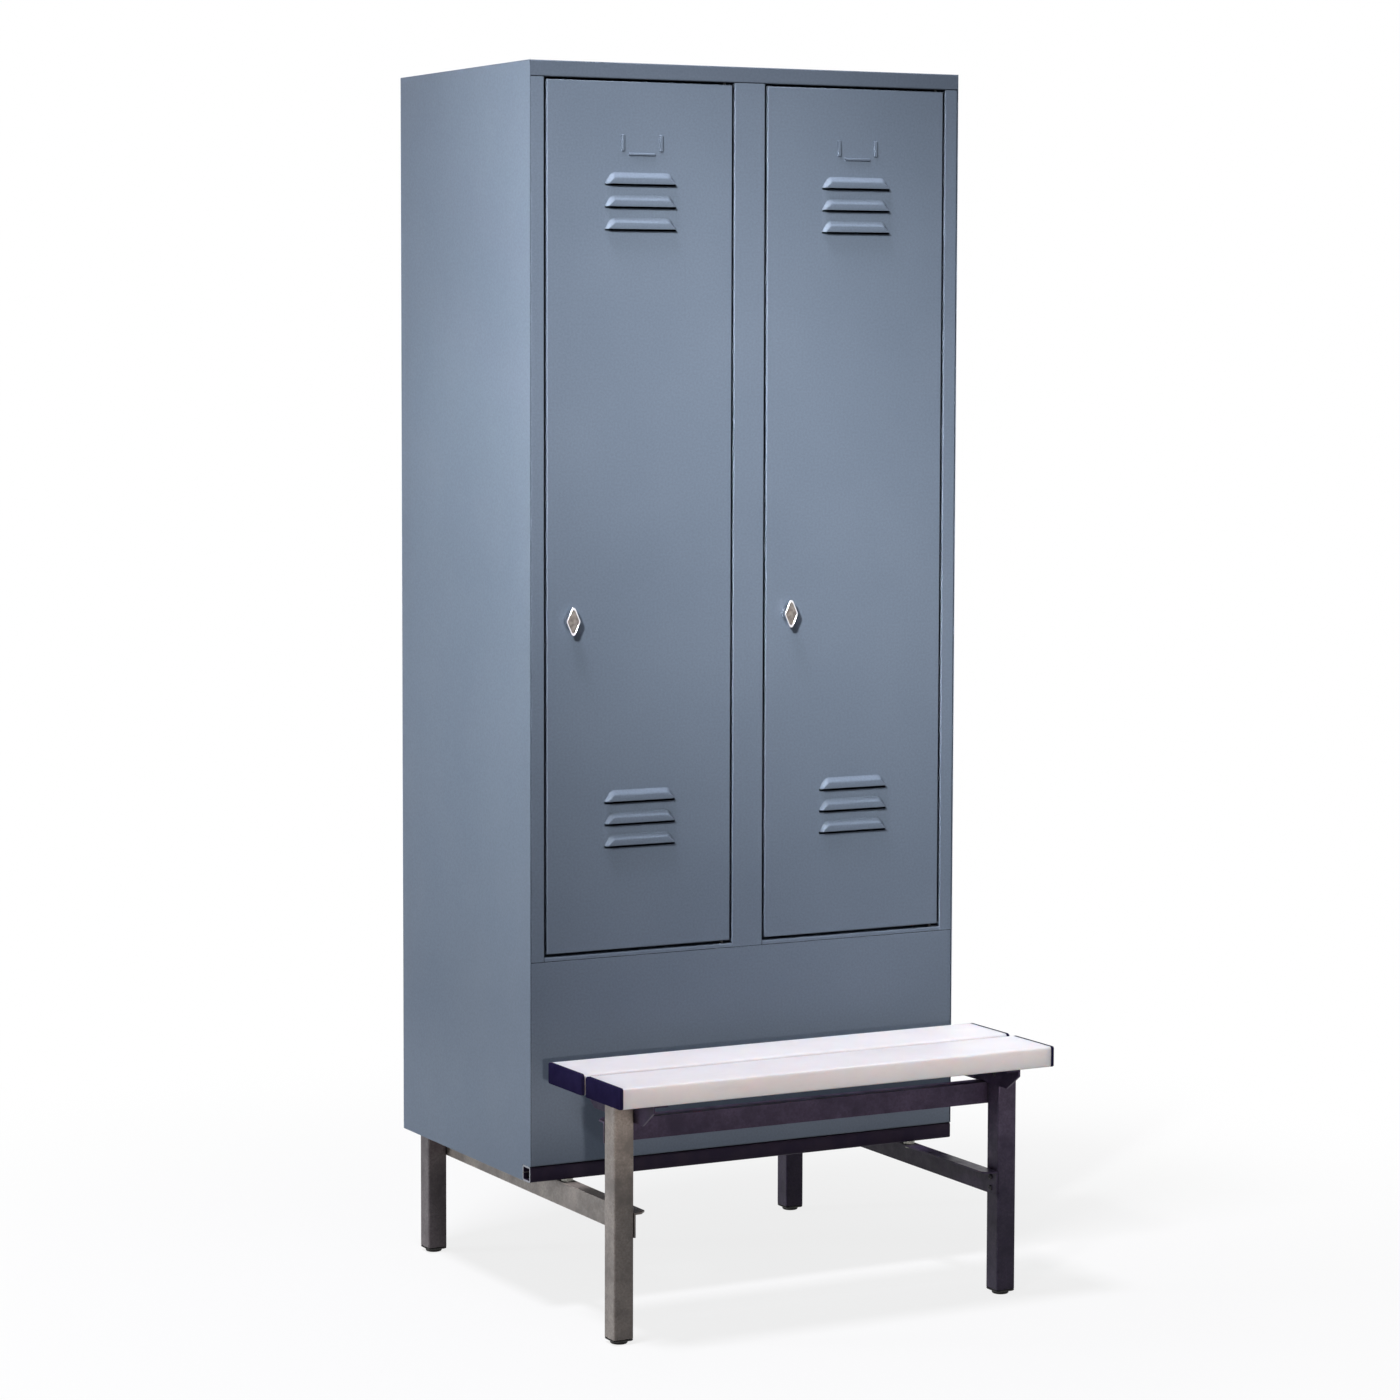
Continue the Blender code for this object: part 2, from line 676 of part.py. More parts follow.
def make_base_rails(paint):
    """C-shaped rails under the front and the back of the body, bolted down on the stretchers."""
    x = LEG_INNER - FIT - STRETCHER_FLANGE / 2
    reach = {"front": SIDE, "rear": BETWEEN_SIDES}
    for name, y in zip(("front", "rear"), BASE_RAIL_YS):
        top = BODY_BOTTOM + BASE_RAIL_HEIGHT
        path = channel(y, y + BASE_RAIL_DEPTH, BODY_BOTTOM, top, BASE_RAIL_LIP, BASE_RAIL_ROUND)
        rail = folded(name + "_base_rail", path, "X", -reach[name], reach[name], paint, cabinet,
                      BASE_RAIL_WALL)
        centre = y + BASE_RAIL_DEPTH / 2
        holes = [((sign * x, centre, BODY_BOTTOM - OVERRUN), (0, 0, 1), BASE_RAIL_WALL + 2 * OVERRUN)
                 for sign in (-1, 1)]
        cutter = make_cutter(name + "_rail_holes", rods(name + "_rail_holes", holes, BOLT_RADIUS + FIT))
        combine(rail, cutter, "DIFFERENCE")


def bolt_places():
    x = LEG_INNER - FIT - STRETCHER_FLANGE / 2
    return [(sign * x, y + BASE_RAIL_DEPTH / 2) for y in BASE_RAIL_YS for sign in (-1, 1)]


def make_base_bolts(plate):
    """Hexagon bolts from stretcher to base rail, each with a round collar that spaces the two apart."""
    low = FRAME_HEIGHT - ANGLE_WALL - FIT
    high = BODY_BOTTOM + BASE_RAIL_WALL
    names = [f"{depth}_{side}_base_bolt" for depth in ("front", "rear") for side in ("left", "right")]
    for name, (x, y) in zip(names, bolt_places()):
        steps = [(0.0, high + BOLT_HEAD), (BOLT_RADIUS, high + BOLT_HEAD), (BOLT_RADIUS, low),
                 (BOLT_HEAD_RADIUS, low), (BOLT_HEAD_RADIUS, low - BOLT_HEAD), (0.0, low - BOLT_HEAD)]
        bolt = place(name, turned_mesh(name, steps, (x, y, 0.0), (0, 0, 1), 6), plate, cabinet)
        seat = (x, y, FRAME_HEIGHT + FIT)
        collar = rods(name + "_collar", [(seat, (0, 0, 1), SPACER_HEIGHT)], SPACER_RADIUS)
        combine(bolt, make_cutter(name + "_collar", collar), "UNION")


# Doors

def door_lefts():
    """Left edge of each door's opening."""
    return {"left": SIDE_STILE - SIDE, "right": CENTRE_STILE / 2}


def pivot_places():
    return [left + OPENING_WIDTH - DOOR_GAP - PIVOT_INSET for left in door_lefts().values()]


def louvre_heights():
    """Lower edge of every louvre, three under the top of the door and three above its foot."""
    upper = OPENING_TOP - LOUVRE_TOP_DROP
    lower = FLOOR_HEIGHT + LOUVRE_FOOT_RISE
    return ([upper - index * LOUVRE_PITCH for index in range(LOUVRE_COUNT)]
            + [lower + index * LOUVRE_PITCH for index in range(LOUVRE_COUNT)])


def hood_outline(x, z, low, high, height, radius, below):
    """Half of the widths at the foot and the top of a hood give its outline, with round upper corners."""
    points = [(x - low, z - below), (x - high, z + height), (x + high, z + height), (x + low, z - below)]
    return rounded(points, radius, closed=False)


def add_loft(bm, near, near_y, far, far_y):
    """Adds a solid between two outlines with the same number of points, at two depths."""
    rings = [[bm.verts.new((u, y, v)) for u, v in ring] for ring, y in ((near, near_y), (far, far_y))]
    count = len(near)
    faces = [bm.faces.new(rings[0]), bm.faces.new(list(reversed(rings[1])))]
    for index in range(count):
        ahead = (index + 1) % count
        faces.append(bm.faces.new((rings[0][ahead], rings[0][index], rings[1][index], rings[1][ahead])))
    bmesh.ops.triangulate(bm, faces=faces)


def add_louvre(bm, x, z, inset, back, below):
    """A hood with sloping ends and a longer slope on top, drawn in by an inset for its inside."""
    low, high = LOUVRE_WIDTH / 2 - inset, LOUVRE_WIDTH / 2 - LOUVRE_TAPER - inset
    lean = LOUVRE_LEAN - inset / 2
    height = LOUVRE_HEIGHT - inset
    base = hood_outline(x, z, low, high, height, LOUVRE_ROUND - inset, below)
    low, high, height = low - lean, high - lean, height * LOUVRE_FACE_SHARE
    face = hood_outline(x, z, low, high, height, LOUVRE_FACE_ROUND - inset, below)
    add_loft(bm, face, FRONT - LOUVRE_DEPTH + inset, base, back)


def label_bars(x):
    """Corners of the three raised bars that hold a paper label: one at each side and one below."""
    top = OPENING_TOP - LABEL_DROP
    low = top - LABEL_BAR_HEIGHT
    proud = FRONT - LABEL_BAR_PROUD
    back = FRONT + SHEET / 2
    edge = LABEL_WIDTH / 2
    rest = LABEL_REST_WIDTH / 2
    rest_top = low - LABEL_REST_GAP + LABEL_REST_HEIGHT / 2
    return [
        ((x - edge, proud, low), (x - edge + LABEL_BAR_WIDTH, back, top)),
        ((x + edge - LABEL_BAR_WIDTH, proud, low), (x + edge, back, top)),
        ((x - rest, proud, rest_top - LABEL_REST_HEIGHT), (x + rest, back, rest_top)),
    ]


def make_door_skin(side, left, paint, pivot):
    """Folded pan with pressed louvres, pressed label holder, latch hole and pin holes."""
    low = (left + DOOR_GAP, FRONT, FLOOR_HEIGHT + DOOR_GAP)
    high = (left + OPENING_WIDTH - DOOR_GAP, FRONT + DOOR_THICKNESS, OPENING_TOP - DOOR_GAP)
    skin = tray(side + "_door_skin", low, high, (0, 1, 0), DOOR_LIP, paint, pivot)
    middle = (low[0] + high[0]) / 2
    raised, opened = bmesh.new(), bmesh.new()
    for z in louvre_heights():
        add_louvre(raised, middle, z, 0.0, FRONT + SHEET / 2, 0.0)
        add_louvre(opened, middle, z, SHEET, FRONT + SHEET + OVERRUN, LOUVRE_SLIT)
    for start, end in label_bars(middle):
        bar = add_block(raised, start, end)
        edges = [e for e in {e for c in bar for e in c.link_edges} if all(v.co.y < FRONT for v in e.verts)]
        bmesh.ops.bevel(raised, geom=edges, offset=LABEL_BAR_PROUD / 2, segments=1, affect="EDGES")
    knob = knob_centre(left)
    add_rod(opened, (knob[0], FRONT - OVERRUN, knob[1]), (0, 1, 0), SHEET + 2 * OVERRUN,
            HOUSING_BARREL_RADIUS + FIT, ROUND_STEPS)
    pin = (left + OPENING_WIDTH - DOOR_GAP - PIVOT_INSET, FRONT + DOOR_THICKNESS / 2)
    for z in (low[2], high[2] - SHEET):
        add_rod(opened, (*pin, z - OVERRUN), (0, 0, 1), SHEET + 2 * OVERRUN, ROD_RADIUS + FIT)
    combine(skin, make_cutter(side + "_door_raised", mesh_of(side + "_door_raised", raised)), "UNION")
    combine(skin, make_cutter(side + "_door_opened", mesh_of(side + "_door_opened", opened)), "DIFFERENCE")


def make_stiffener(side, left, paint, pivot):
    """Hat section that runs down the inside of the door, on its hinge side."""
    right = left + OPENING_WIDTH - DOOR_GAP - STIFFENER_EDGE
    low, high = right - STIFFENER_WIDTH, right
    near = FRONT + SHEET + FIT
    far = FRONT + DOOR_THICKNESS - SHEET - FIT
    path = [(high, near + SHEET), (high - STIFFENER_FLANGE, near + SHEET), (high - STIFFENER_FLANGE, far),
            (low + STIFFENER_FLANGE, far), (low + STIFFENER_FLANGE, near + SHEET), (low, near + SHEET)]
    folded(side + "_door_stiffener", path, "Z", FLOOR_HEIGHT + DOOR_GAP + FOLD_RADIUS + FIT,
           OPENING_TOP - DOOR_GAP - FOLD_RADIUS - FIT, paint, pivot)


def make_hinge_rod(side, left, plate, pivot):
    """Rod on the door's axis through both its folds, down into the floor's edge and up into the head rail."""
    x = left + OPENING_WIDTH - DOOR_GAP - PIVOT_INSET
    y = FRONT + DOOR_THICKNESS / 2
    low, high = FLOOR_HEIGHT - ROD_REACH, OPENING_TOP + ROD_REACH
    inner_low = FLOOR_HEIGHT + DOOR_GAP + SHEET + FIT
    inner_high = OPENING_TOP - DOOR_GAP - SHEET - FIT
    profile = [(0.0, high), (ROD_RADIUS, high), (ROD_RADIUS, inner_high), (COLLAR_RADIUS, inner_high),
               (COLLAR_RADIUS, inner_high - COLLAR_HEIGHT), (ROD_RADIUS, inner_high - COLLAR_HEIGHT),
               (ROD_RADIUS, inner_low + COLLAR_HEIGHT), (COLLAR_RADIUS, inner_low + COLLAR_HEIGHT),
               (COLLAR_RADIUS, inner_low), (ROD_RADIUS, inner_low), (ROD_RADIUS, low), (0.0, low)]
    name = side + "_hinge_rod"
    rod = place(name, turned_mesh(name, profile, (x, y, 0.0), (0, 0, 1), SMALL_STEPS), plate, pivot)
    shade_round(rod)


# Turn latch

def knob_centre(left):
    return left + KNOB_INSET, FLOOR_HEIGHT + KNOB_HEIGHT_ABOVE_SILL


def make_latch(side, left, chrome, plate, door_pivot, knob_pivot):
    """Housing fixed in the door, knob and spindle turning in it, and the cam that the spindle carries."""
    x, z = knob_centre(left)
    outward = (0, -1, 0)
    origin = (x, FRONT, z)
    cam_front = STOP_BACK + CAM_BEHIND_STOP
    barrel_end = FRONT - cam_front + FIT
    bore = SPINDLE_RADIUS + FIT
    ring = [(bore, HOUSING_PROUD), (HOUSING_RADIUS - HOUSING_PROUD / 2, HOUSING_PROUD),
            (HOUSING_RADIUS, HOUSING_PROUD / 2), (HOUSING_RADIUS, FIT), (HOUSING_BARREL_RADIUS, FIT),
            (HOUSING_BARREL_RADIUS, barrel_end), (bore, barrel_end), (bore, HOUSING_PROUD)]
    housing = place(side + "_latch_housing", turned_mesh(side + "_latch_housing", ring, origin, outward),
                    plate, door_pivot)
    shade_round(housing)

    neck = HOUSING_PROUD + FIT
    grip = neck + KNOB_NECK_LENGTH
    body = [(0.0, grip + KNOB_EDGE), (KNOB_NECK_RADIUS, grip + KNOB_EDGE), (KNOB_NECK_RADIUS, neck),
            (SPINDLE_RADIUS, neck), (SPINDLE_RADIUS, barrel_end), (0.0, barrel_end)]
    knob = place(side + "_knob", turned_mesh(side + "_knob", body, origin, outward), chrome, knob_pivot)
    shade_round(knob)
    half_width, half_length = KNOB_WIDTH / 2, KNOB_LENGTH / 2
    rhombus = [(x - half_width, z), (x, z - half_length), (x + half_width, z), (x, z + half_length)]
    grip_mesh = extruded_mesh(side + "_grip", [rounded(rhombus, KNOB_CORNER)], "Y",
                              FRONT - grip - KNOB_GRIP_DEPTH, FRONT - grip)
    grip_form = make_cutter(side + "_grip", grip_mesh)
    soften(grip_form, KNOB_EDGE)
    combine(knob, grip_form, "UNION")
    face = FRONT - grip - KNOB_GRIP_DEPTH
    share = KNOB_DISH_SHARE
    sunk = [(x + (u - x) * share, z + (v - z) * share) for u, v in rounded(rhombus, KNOB_CORNER)]
    dish = extruded_mesh(side + "_dish", [sunk], "Y", face - OVERRUN, face + KNOB_DISH)
    combine(knob, make_cutter(side + "_dish", dish), "DIFFERENCE")
    square = SPINDLE_SQUARE / 2
    square_end = cam_front + CAM_THICKNESS + FIT
    tail_span = ((x - square, cam_front - FIT, z - square), (x + square, square_end, z + square))
    combine(knob, make_cutter(side + "_tail", blocks(side + "_tail", [tail_span])), "UNION")
    rivet = rods(side + "_rivet", [((x, square_end, z), (0, 1, 0), RIVET_HEAD)], RIVET_RADIUS)
    combine(knob, make_cutter(side + "_rivet", rivet), "UNION")

    half = CAM_WIDTH / 2
    bar = [(x - half, z - CAM_LENGTH), (x + half, z - CAM_LENGTH), (x + half, z + half), (x - half, z + half)]
    hole = square + FIT
    extruded(side + "_latch_cam",
             [rounded(bar, CAM_CORNER), rectangle((x - hole, z - hole), (x + hole, z + hole))],
             "Y", cam_front, cam_front + CAM_THICKNESS, plate, knob_pivot)


def make_doors(paint, inside, chrome, plate):
    for side, left in door_lefts().items():
        pivot_x = left + OPENING_WIDTH - DOOR_GAP - PIVOT_INSET
        pivot = make_pivot(side + "_door_pivot", (pivot_x, FRONT + DOOR_THICKNESS / 2, FLOOR_HEIGHT), cabinet)
        x, z = knob_centre(left)
        axis = make_pivot(side + "_knob_axis", (x, FRONT, z), None)
        axis.parent = pivot
        axis.matrix_parent_inverse = pivot.matrix_world.inverted()
        bpy.context.view_layer.update()
        make_door_skin(side, left, paint, pivot)
        make_stiffener(side, left, inside, pivot)
        make_hinge_rod(side, left, plate, pivot)
        make_latch(side, left, chrome, plate, pivot, axis)


# Underframe

def leg_spans():
    """Left, right, front, back and top of each leg."""
    spans = {}
    for depth, y, top in (("front", FRONT_LEG_Y, BEARER_TOP), ("rear", REAR_LEG_Y, FRAME_HEIGHT)):
        spans[depth + "_left"] = (-LEG_OUTER, -LEG_INNER, y, y + LEG_TUBE, top)
        spans[depth + "_right"] = (LEG_INNER, LEG_OUTER, y, y + LEG_TUBE, top)
    return spans


def make_legs(paint):
    for name, (left, right, front, back, top) in leg_spans().items():
        outer = rounded(rectangle((left, front), (right, back)), LEG_CORNER)
        inner = rounded(rectangle((left + LEG_WALL, front + LEG_WALL), (right - LEG_WALL, back - LEG_WALL)),
                        LEG_CORNER - LEG_WALL)
        leg = extruded(name + "_leg", [outer, inner], "Z", FOOT_HEIGHT + FIT, top, paint, bench)
        shade_round(leg)


def make_feet(plastic):
    """A plug inside the tube, a flange under its end and a round pad that stands on the floor."""
    for name, (left, right, front, back, _) in leg_spans().items():
        gap = LEG_WALL + FIT
        plug = rounded(rectangle((left + gap, front + gap), (right - gap, back - gap)), LEG_CORNER - LEG_WALL)
        foot = extruded(name + "_foot", [plug], "Z", FOOT_PAD + FOOT_FLANGE / 2, FOOT_HEIGHT + FOOT_PLUG,
                        plastic, bench)
        outline = rounded(rectangle((left, front), (right, back)), LEG_CORNER)
        flange_mesh = extruded_mesh(name + "_flange", [outline], "Z", FOOT_PAD, FOOT_HEIGHT)
        flange = make_cutter(name + "_flange", flange_mesh)
        soften(flange, FOOT_EDGE, 1)
        combine(foot, flange, "UNION")
        centre = ((left + right) / 2, (front + back) / 2, 0.0)
        pad = [(0.0, FOOT_PAD + FOOT_FLANGE / 4), (FOOT_PAD_RADIUS, FOOT_PAD + FOOT_FLANGE / 4),
               (FOOT_PAD_RADIUS, FOOT_PAD / 4), (FOOT_PAD_RADIUS - FOOT_PAD / 4, 0.0), (0.0, 0.0)]
        disc = turned_mesh(name + "_pad", pad, centre, (0, 0, 1))
        combine(foot, make_cutter(name + "_pad", disc), "UNION")


def angle_section(sign, edge, top, flange, web):
    """L-shaped outline: the web hangs at an edge, and the flange runs from its top towards the middle."""
    inner = edge - ANGLE_WALL
    points = [(edge, top), (edge, top - web), (inner, top - web), (inner, top - ANGLE_WALL),
              (edge - flange, top - ANGLE_WALL), (edge - flange, top)]
    return [(sign * u, v) for u, v in points]


def corner_cut(name, corners, axis, low, high):
    """Prisms that take off corners of an outline. Each is a corner and its two cut lengths, with signs."""
    bm = bmesh.new()
    for (u, v), (a, b) in corners:
        along = u + a + math.copysign(OVERRUN, a)
        up = v + b + math.copysign(OVERRUN, b)
        beside, below = u - a * OVERRUN / abs(b), v - b * OVERRUN / abs(a)
        prism = extruded_mesh(name, [[(along, below), (beside, up), (beside, below)]], axis, low, high)
        bm.from_mesh(prism)
        bpy.data.meshes.remove(prism)
    return make_cutter(name, mesh_of(name, bm))


def make_stretchers(paint):
    """Angles along both sides, web on the legs' inner faces and flange on top, that carry the body."""
    outer = LEG_INNER - FIT
    front, back = FRONT_LEG_Y, REAR_LEG_Y + LEG_TUBE
    for side, sign in (("left", -1), ("right", 1)):
        name = side + "_stretcher"
        section = angle_section(sign, outer, FRAME_HEIGHT, STRETCHER_FLANGE, STRETCHER_WEB)
        piece = extruded(name, [section], "Y", front, back, paint, bench)
        tip = sign * (outer - STRETCHER_FLANGE)
        corners = [((tip, front), (sign * CORNER_CHAMFER, CORNER_CHAMFER))]
        depths = (FRAME_HEIGHT - 2 * ANGLE_WALL, FRAME_HEIGHT + OVERRUN)
        cutter = corner_cut(name + "_corner", corners, "Z", *depths)
        combine(piece, cutter, "DIFFERENCE")
        holes = [((x, y, FRAME_HEIGHT - ANGLE_WALL - OVERRUN), (0, 0, 1), ANGLE_WALL + 2 * OVERRUN)
                 for x, y in bolt_places() if x * sign > 0]
        drills = rods(name + "_holes", holes, BOLT_RADIUS + FIT)
        combine(piece, make_cutter(name + "_holes", drills), "DIFFERENCE")


def make_cross_rails(paint):
    """The front one is screwed behind the front legs, under the seat; the rear one ties the stretchers."""
    near = FRONT_LEG_Y + LEG_TUBE + FIT
    far = near + CROSS_FLANGE
    section = [(near, CROSS_TOP), (near, CROSS_TOP - CROSS_WEB), (near + ANGLE_WALL, CROSS_TOP - CROSS_WEB),
               (near + ANGLE_WALL, CROSS_TOP - ANGLE_WALL), (far, CROSS_TOP - ANGLE_WALL), (far, CROSS_TOP)]
    rail = extruded("seat_cross_rail", [section], "X", -LEG_OUTER, LEG_OUTER, paint, bench)
    corners = [((sign * LEG_OUTER, far), (-sign * CORNER_CHAMFER, -CORNER_CHAMFER)) for sign in (-1, 1)]
    cutter = corner_cut("seat_cross_corners", corners, "Z", CROSS_TOP - 2 * ANGLE_WALL, CROSS_TOP + OVERRUN)
    combine(rail, cutter, "DIFFERENCE")
    reach = LEG_INNER - 2 * FIT - ANGLE_WALL
    top = FRAME_HEIGHT - ANGLE_WALL - FIT
    y = REAR_LEG_Y - REAR_TIE_OFFSET
    low = top - REAR_TIE_WEB
    path = [(y + REAR_TIE_FLANGE, top), (y, top), (y, low), (y + REAR_TIE_FLANGE, low)]
    folded("rear_cross_rail", path, "X", -reach, reach, paint, bench, ANGLE_WALL)


def make_bearers(paint):
    """Short angles on the front legs' inner faces, chamfered at both lower ends, under the slats."""
    outer = LEG_INNER - FIT
    front, back = SEAT_FRONT + BEARER_SETBACK, BEARER_BACK
    low = BEARER_TOP - BEARER_WEB
    for side, sign in (("left", -1), ("right", 1)):
        name = side + "_seat_bearer"
        section = angle_section(sign, outer, BEARER_TOP, BEARER_FLANGE, BEARER_WEB)
        piece = extruded(name, [section], "Y", front, back, paint, bench)
        rise = BEARER_WEB - BEARER_EDGE
        corners = [((front, low), (BEARER_CHAMFER, rise)), ((back, low), (-BEARER_CHAMFER, rise))]
        spans = sorted((sign * (outer + OVERRUN), sign * (outer - BEARER_FLANGE)))
        combine(piece, corner_cut(name + "_corners", corners, "X", *spans), "DIFFERENCE")


# Bench

def slat_cells(front, gap):
    """The hollow chambers of a slat's section, each drawn in by a gap."""
    inner = SLAT_DEPTH - 2 * SLAT_WALL
    width = (inner - (SLAT_CELLS - 1) * SLAT_WALL) / SLAT_CELLS
    low, high = SLAT_BOTTOM + SLAT_WALL + gap, SEAT_HEIGHT - SLAT_WALL - gap
    cells = []
    for index in range(SLAT_CELLS):
        y = front + SLAT_WALL + index * (width + SLAT_WALL)
        cell = rectangle((y + gap, low), (y + width - gap, high))
        cells.append(rounded(cell, SLAT_CORNER - SLAT_WALL - gap))
    return cells


def slat_outline(front):
    return rounded(rectangle((front, SLAT_BOTTOM), (front + SLAT_DEPTH, SEAT_HEIGHT)), SLAT_CORNER)


def make_slats(plastic, cap_plastic_finish):
    """Extruded hollow boards with a moulded cap plugged into each end."""
    end = SIDE - CAP_PLATE - FIT
    for name, front in zip(("front", "rear"), SLAT_FRONTS):
        slat = extruded(name + "_slat", [slat_outline(front), *slat_cells(front, 0.0)], "X", -end, end,
                        plastic, bench)
        shade_round(slat)
        for side, sign in (("left", -1), ("right", 1)):
            face = sorted((sign * SIDE, sign * (SIDE - CAP_PLATE)))
            cap = extruded(name + "_slat_" + side + "_cap", [slat_outline(front)], "X", *face,
                           cap_plastic_finish, bench)
            soften(cap, CAP_EDGE, 1)
            plug = sorted((sign * (SIDE - CAP_PLATE / 2), sign * (SIDE - CAP_PLATE - CAP_PLUG)))
            mesh = extruded_mesh("plugs", slat_cells(front, FIT), "X", *plug)
            combine(cap, make_cutter(name + side + "_cap_plugs", mesh), "UNION")
            shade_round(cap)


def build():
    paint, inside, frame = body_paint(), inside_paint(), frame_paint()
    chrome, plate = chrome_plate(), zinc_plate()
    make_side_panels(paint)
    make_outer_panels(paint)
    make_front_frame(paint)
    make_floor(paint)
    make_partition(inside)
    make_shelves(inside)
    make_coat_rails(chrome)
    make_hooks(plate)
    make_door_stops(inside)
    make_base_rails(rail_paint())
    make_base_bolts(plate)
    make_doors(paint, inside, chrome, plate)
    make_legs(frame)
    make_feet(foot_plastic())
    make_stretchers(frame)
    make_cross_rails(frame)
    make_bearers(frame)
    make_slats(slat_plastic(), cap_plastic())


clear_scene()
parts = new_collection("locker_with_bench")
cutters = new_collection("cutters")
cabinet = make_pivot("cabinet", (0, 0, 0))
bench = make_pivot("bench_frame", (0, 0, 0))
build()
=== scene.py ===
import math

import bmesh
import bpy
from mathutils import Matrix, Vector


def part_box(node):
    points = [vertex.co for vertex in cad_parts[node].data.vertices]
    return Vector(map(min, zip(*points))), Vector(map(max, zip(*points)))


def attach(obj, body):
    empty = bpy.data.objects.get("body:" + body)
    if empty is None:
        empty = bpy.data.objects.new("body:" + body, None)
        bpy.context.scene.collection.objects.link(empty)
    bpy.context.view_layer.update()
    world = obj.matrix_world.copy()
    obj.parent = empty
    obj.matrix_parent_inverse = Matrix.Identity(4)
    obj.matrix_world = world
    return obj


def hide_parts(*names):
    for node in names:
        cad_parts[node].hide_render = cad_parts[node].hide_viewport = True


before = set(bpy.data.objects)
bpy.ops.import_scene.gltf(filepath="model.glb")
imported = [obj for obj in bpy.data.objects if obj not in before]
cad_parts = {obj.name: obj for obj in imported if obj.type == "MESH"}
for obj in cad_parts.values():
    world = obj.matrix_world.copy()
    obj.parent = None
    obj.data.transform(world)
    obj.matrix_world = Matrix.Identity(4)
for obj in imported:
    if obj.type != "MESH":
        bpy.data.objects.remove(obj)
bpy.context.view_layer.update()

# Camera
# A long lens at eye level, tipped down by 4 degrees and turned 27 degrees to the right, so that the left
# side shows. Its shift only brings the locker to its place in the frame.
FRAME_PIXELS = 1400
FOCAL_PIXELS = 3863.0
CAMERA_PLACE = (-3.166, -5.678, 1.595)
CAMERA_DROP = 4.32
CAMERA_TURN = 26.749
CAMERA_SHIFT_X = 0.1
CAMERA_SHIFT_Y = -0.05
camera = bpy.data.objects.new("camera", bpy.data.cameras.new("camera"))
bpy.context.scene.collection.objects.link(camera)
camera.location = CAMERA_PLACE
camera.rotation_euler = (math.radians(90 - CAMERA_DROP), 0.0, math.radians(-CAMERA_TURN))
camera.data.lens = camera.data.sensor_width * FOCAL_PIXELS / FRAME_PIXELS
camera.data.shift_x = CAMERA_SHIFT_X
camera.data.shift_y = CAMERA_SHIFT_Y
bpy.context.scene.camera = camera
bpy.context.scene.view_settings.view_transform = "Standard"

# Floor and light
# A white studio floor without an edge. A high lamp lights what faces up, a small one with a grid throws a
# pool on the doors and the knobs' crisp shadows, a panel lights the left side and a low strip the bench.
TOP_FROM = Vector((-2.1, -0.8, 7.0))
TOP_AT = Vector((0.0, -0.09, 1.0))
TOP_SIZE = 1.2
TOP_LEVEL = 0.89
TOP_COLOUR = (0.94, 0.93, 1.0)
POOL_FROM = Vector((-4.42, -3.78, 4.62))
POOL_AT = Vector((0.12, -0.09, 1.40))
POOL_WIDTH = 0.40
POOL_HEIGHT = 0.86
POOL_ENERGY = 8.1
POOL_BEAM = 16.6
SIDE_FROM = Vector((-5.6, 2.2, 1.10))
SIDE_AT = Vector((-0.405, 0.10, 0.2))
SIDE_SIZE = 1.0
SIDE_ENERGY = 24.0
SIDE_BEAM = 80
SIDE_COLOUR = (0.90, 0.955, 1.0)
BENCH_FROM = Vector((-1.5, -4.9, 0.84))
BENCH_AT = Vector((0.0, -0.41, 0.36))
BENCH_WIDTH = 2.2
BENCH_HEIGHT = 0.10
BENCH_ENERGY = 0.46
BENCH_BEAM = 3.6
BENCH_COLOUR = (1.0, 0.90, 0.82)
WORLD_LEVEL = 0.14
WORLD_COLOUR = (0.97, 0.98, 1.0, 1.0)
WHITE = (1.0, 1.0, 1.0, 1.0)
FLOOR_LIGHTING = (0.22, 0.22, 0.22, 1.0)
FLOOR_SEEN = (0.95, 0.95, 0.95, 1.0)
WHITEN_START = 0.4
WHITEN_END = 2.2
WHITEN_LEAST = 0.82


def add_lamp(name, place, aim, width, height, energy, beam=180, colour=(1.0, 1.0, 1.0)):
    """A rectangular lamp. Its beam is given as a full angle in degrees."""
    lamp = bpy.data.objects.new(name, bpy.data.lights.new(name, "AREA"))
    bpy.context.scene.collection.objects.link(lamp)
    lamp.location = place
    lamp.rotation_euler = (aim - place).to_track_quat("-Z", "Y").to_euler()
    lamp.data.shape = "RECTANGLE"
    lamp.data.size = width
    lamp.data.size_y = height
    lamp.data.energy = energy
    lamp.data.color = colour
    lamp.data.spread = math.radians(beam)
    lamp.visible_camera = False


def plain_energy(place, aim, level):
    """Energy at which a surface that faces the lamp at its aim has the given level, 1 being plain."""
    return level * math.pi ** 2 * (aim - place).length_squared


def seen_directly(tree):
    """1 for rays from the camera, a reflection or glass, and 0 for the rays that light things."""
    path = tree.nodes.new("ShaderNodeLightPath")
    first = tree.nodes.new("ShaderNodeMath")
    first.operation = "MAXIMUM"
    last = tree.nodes.new("ShaderNodeMath")
    last.operation = "MAXIMUM"
    tree.links.new(path.outputs["Is Camera Ray"], first.inputs[0])
    tree.links.new(path.outputs["Is Glossy Ray"], first.inputs[1])
    tree.links.new(first.outputs[0], last.inputs[0])
    tree.links.new(path.outputs["Is Transmission Ray"], last.inputs[1])
    return last.outputs[0]


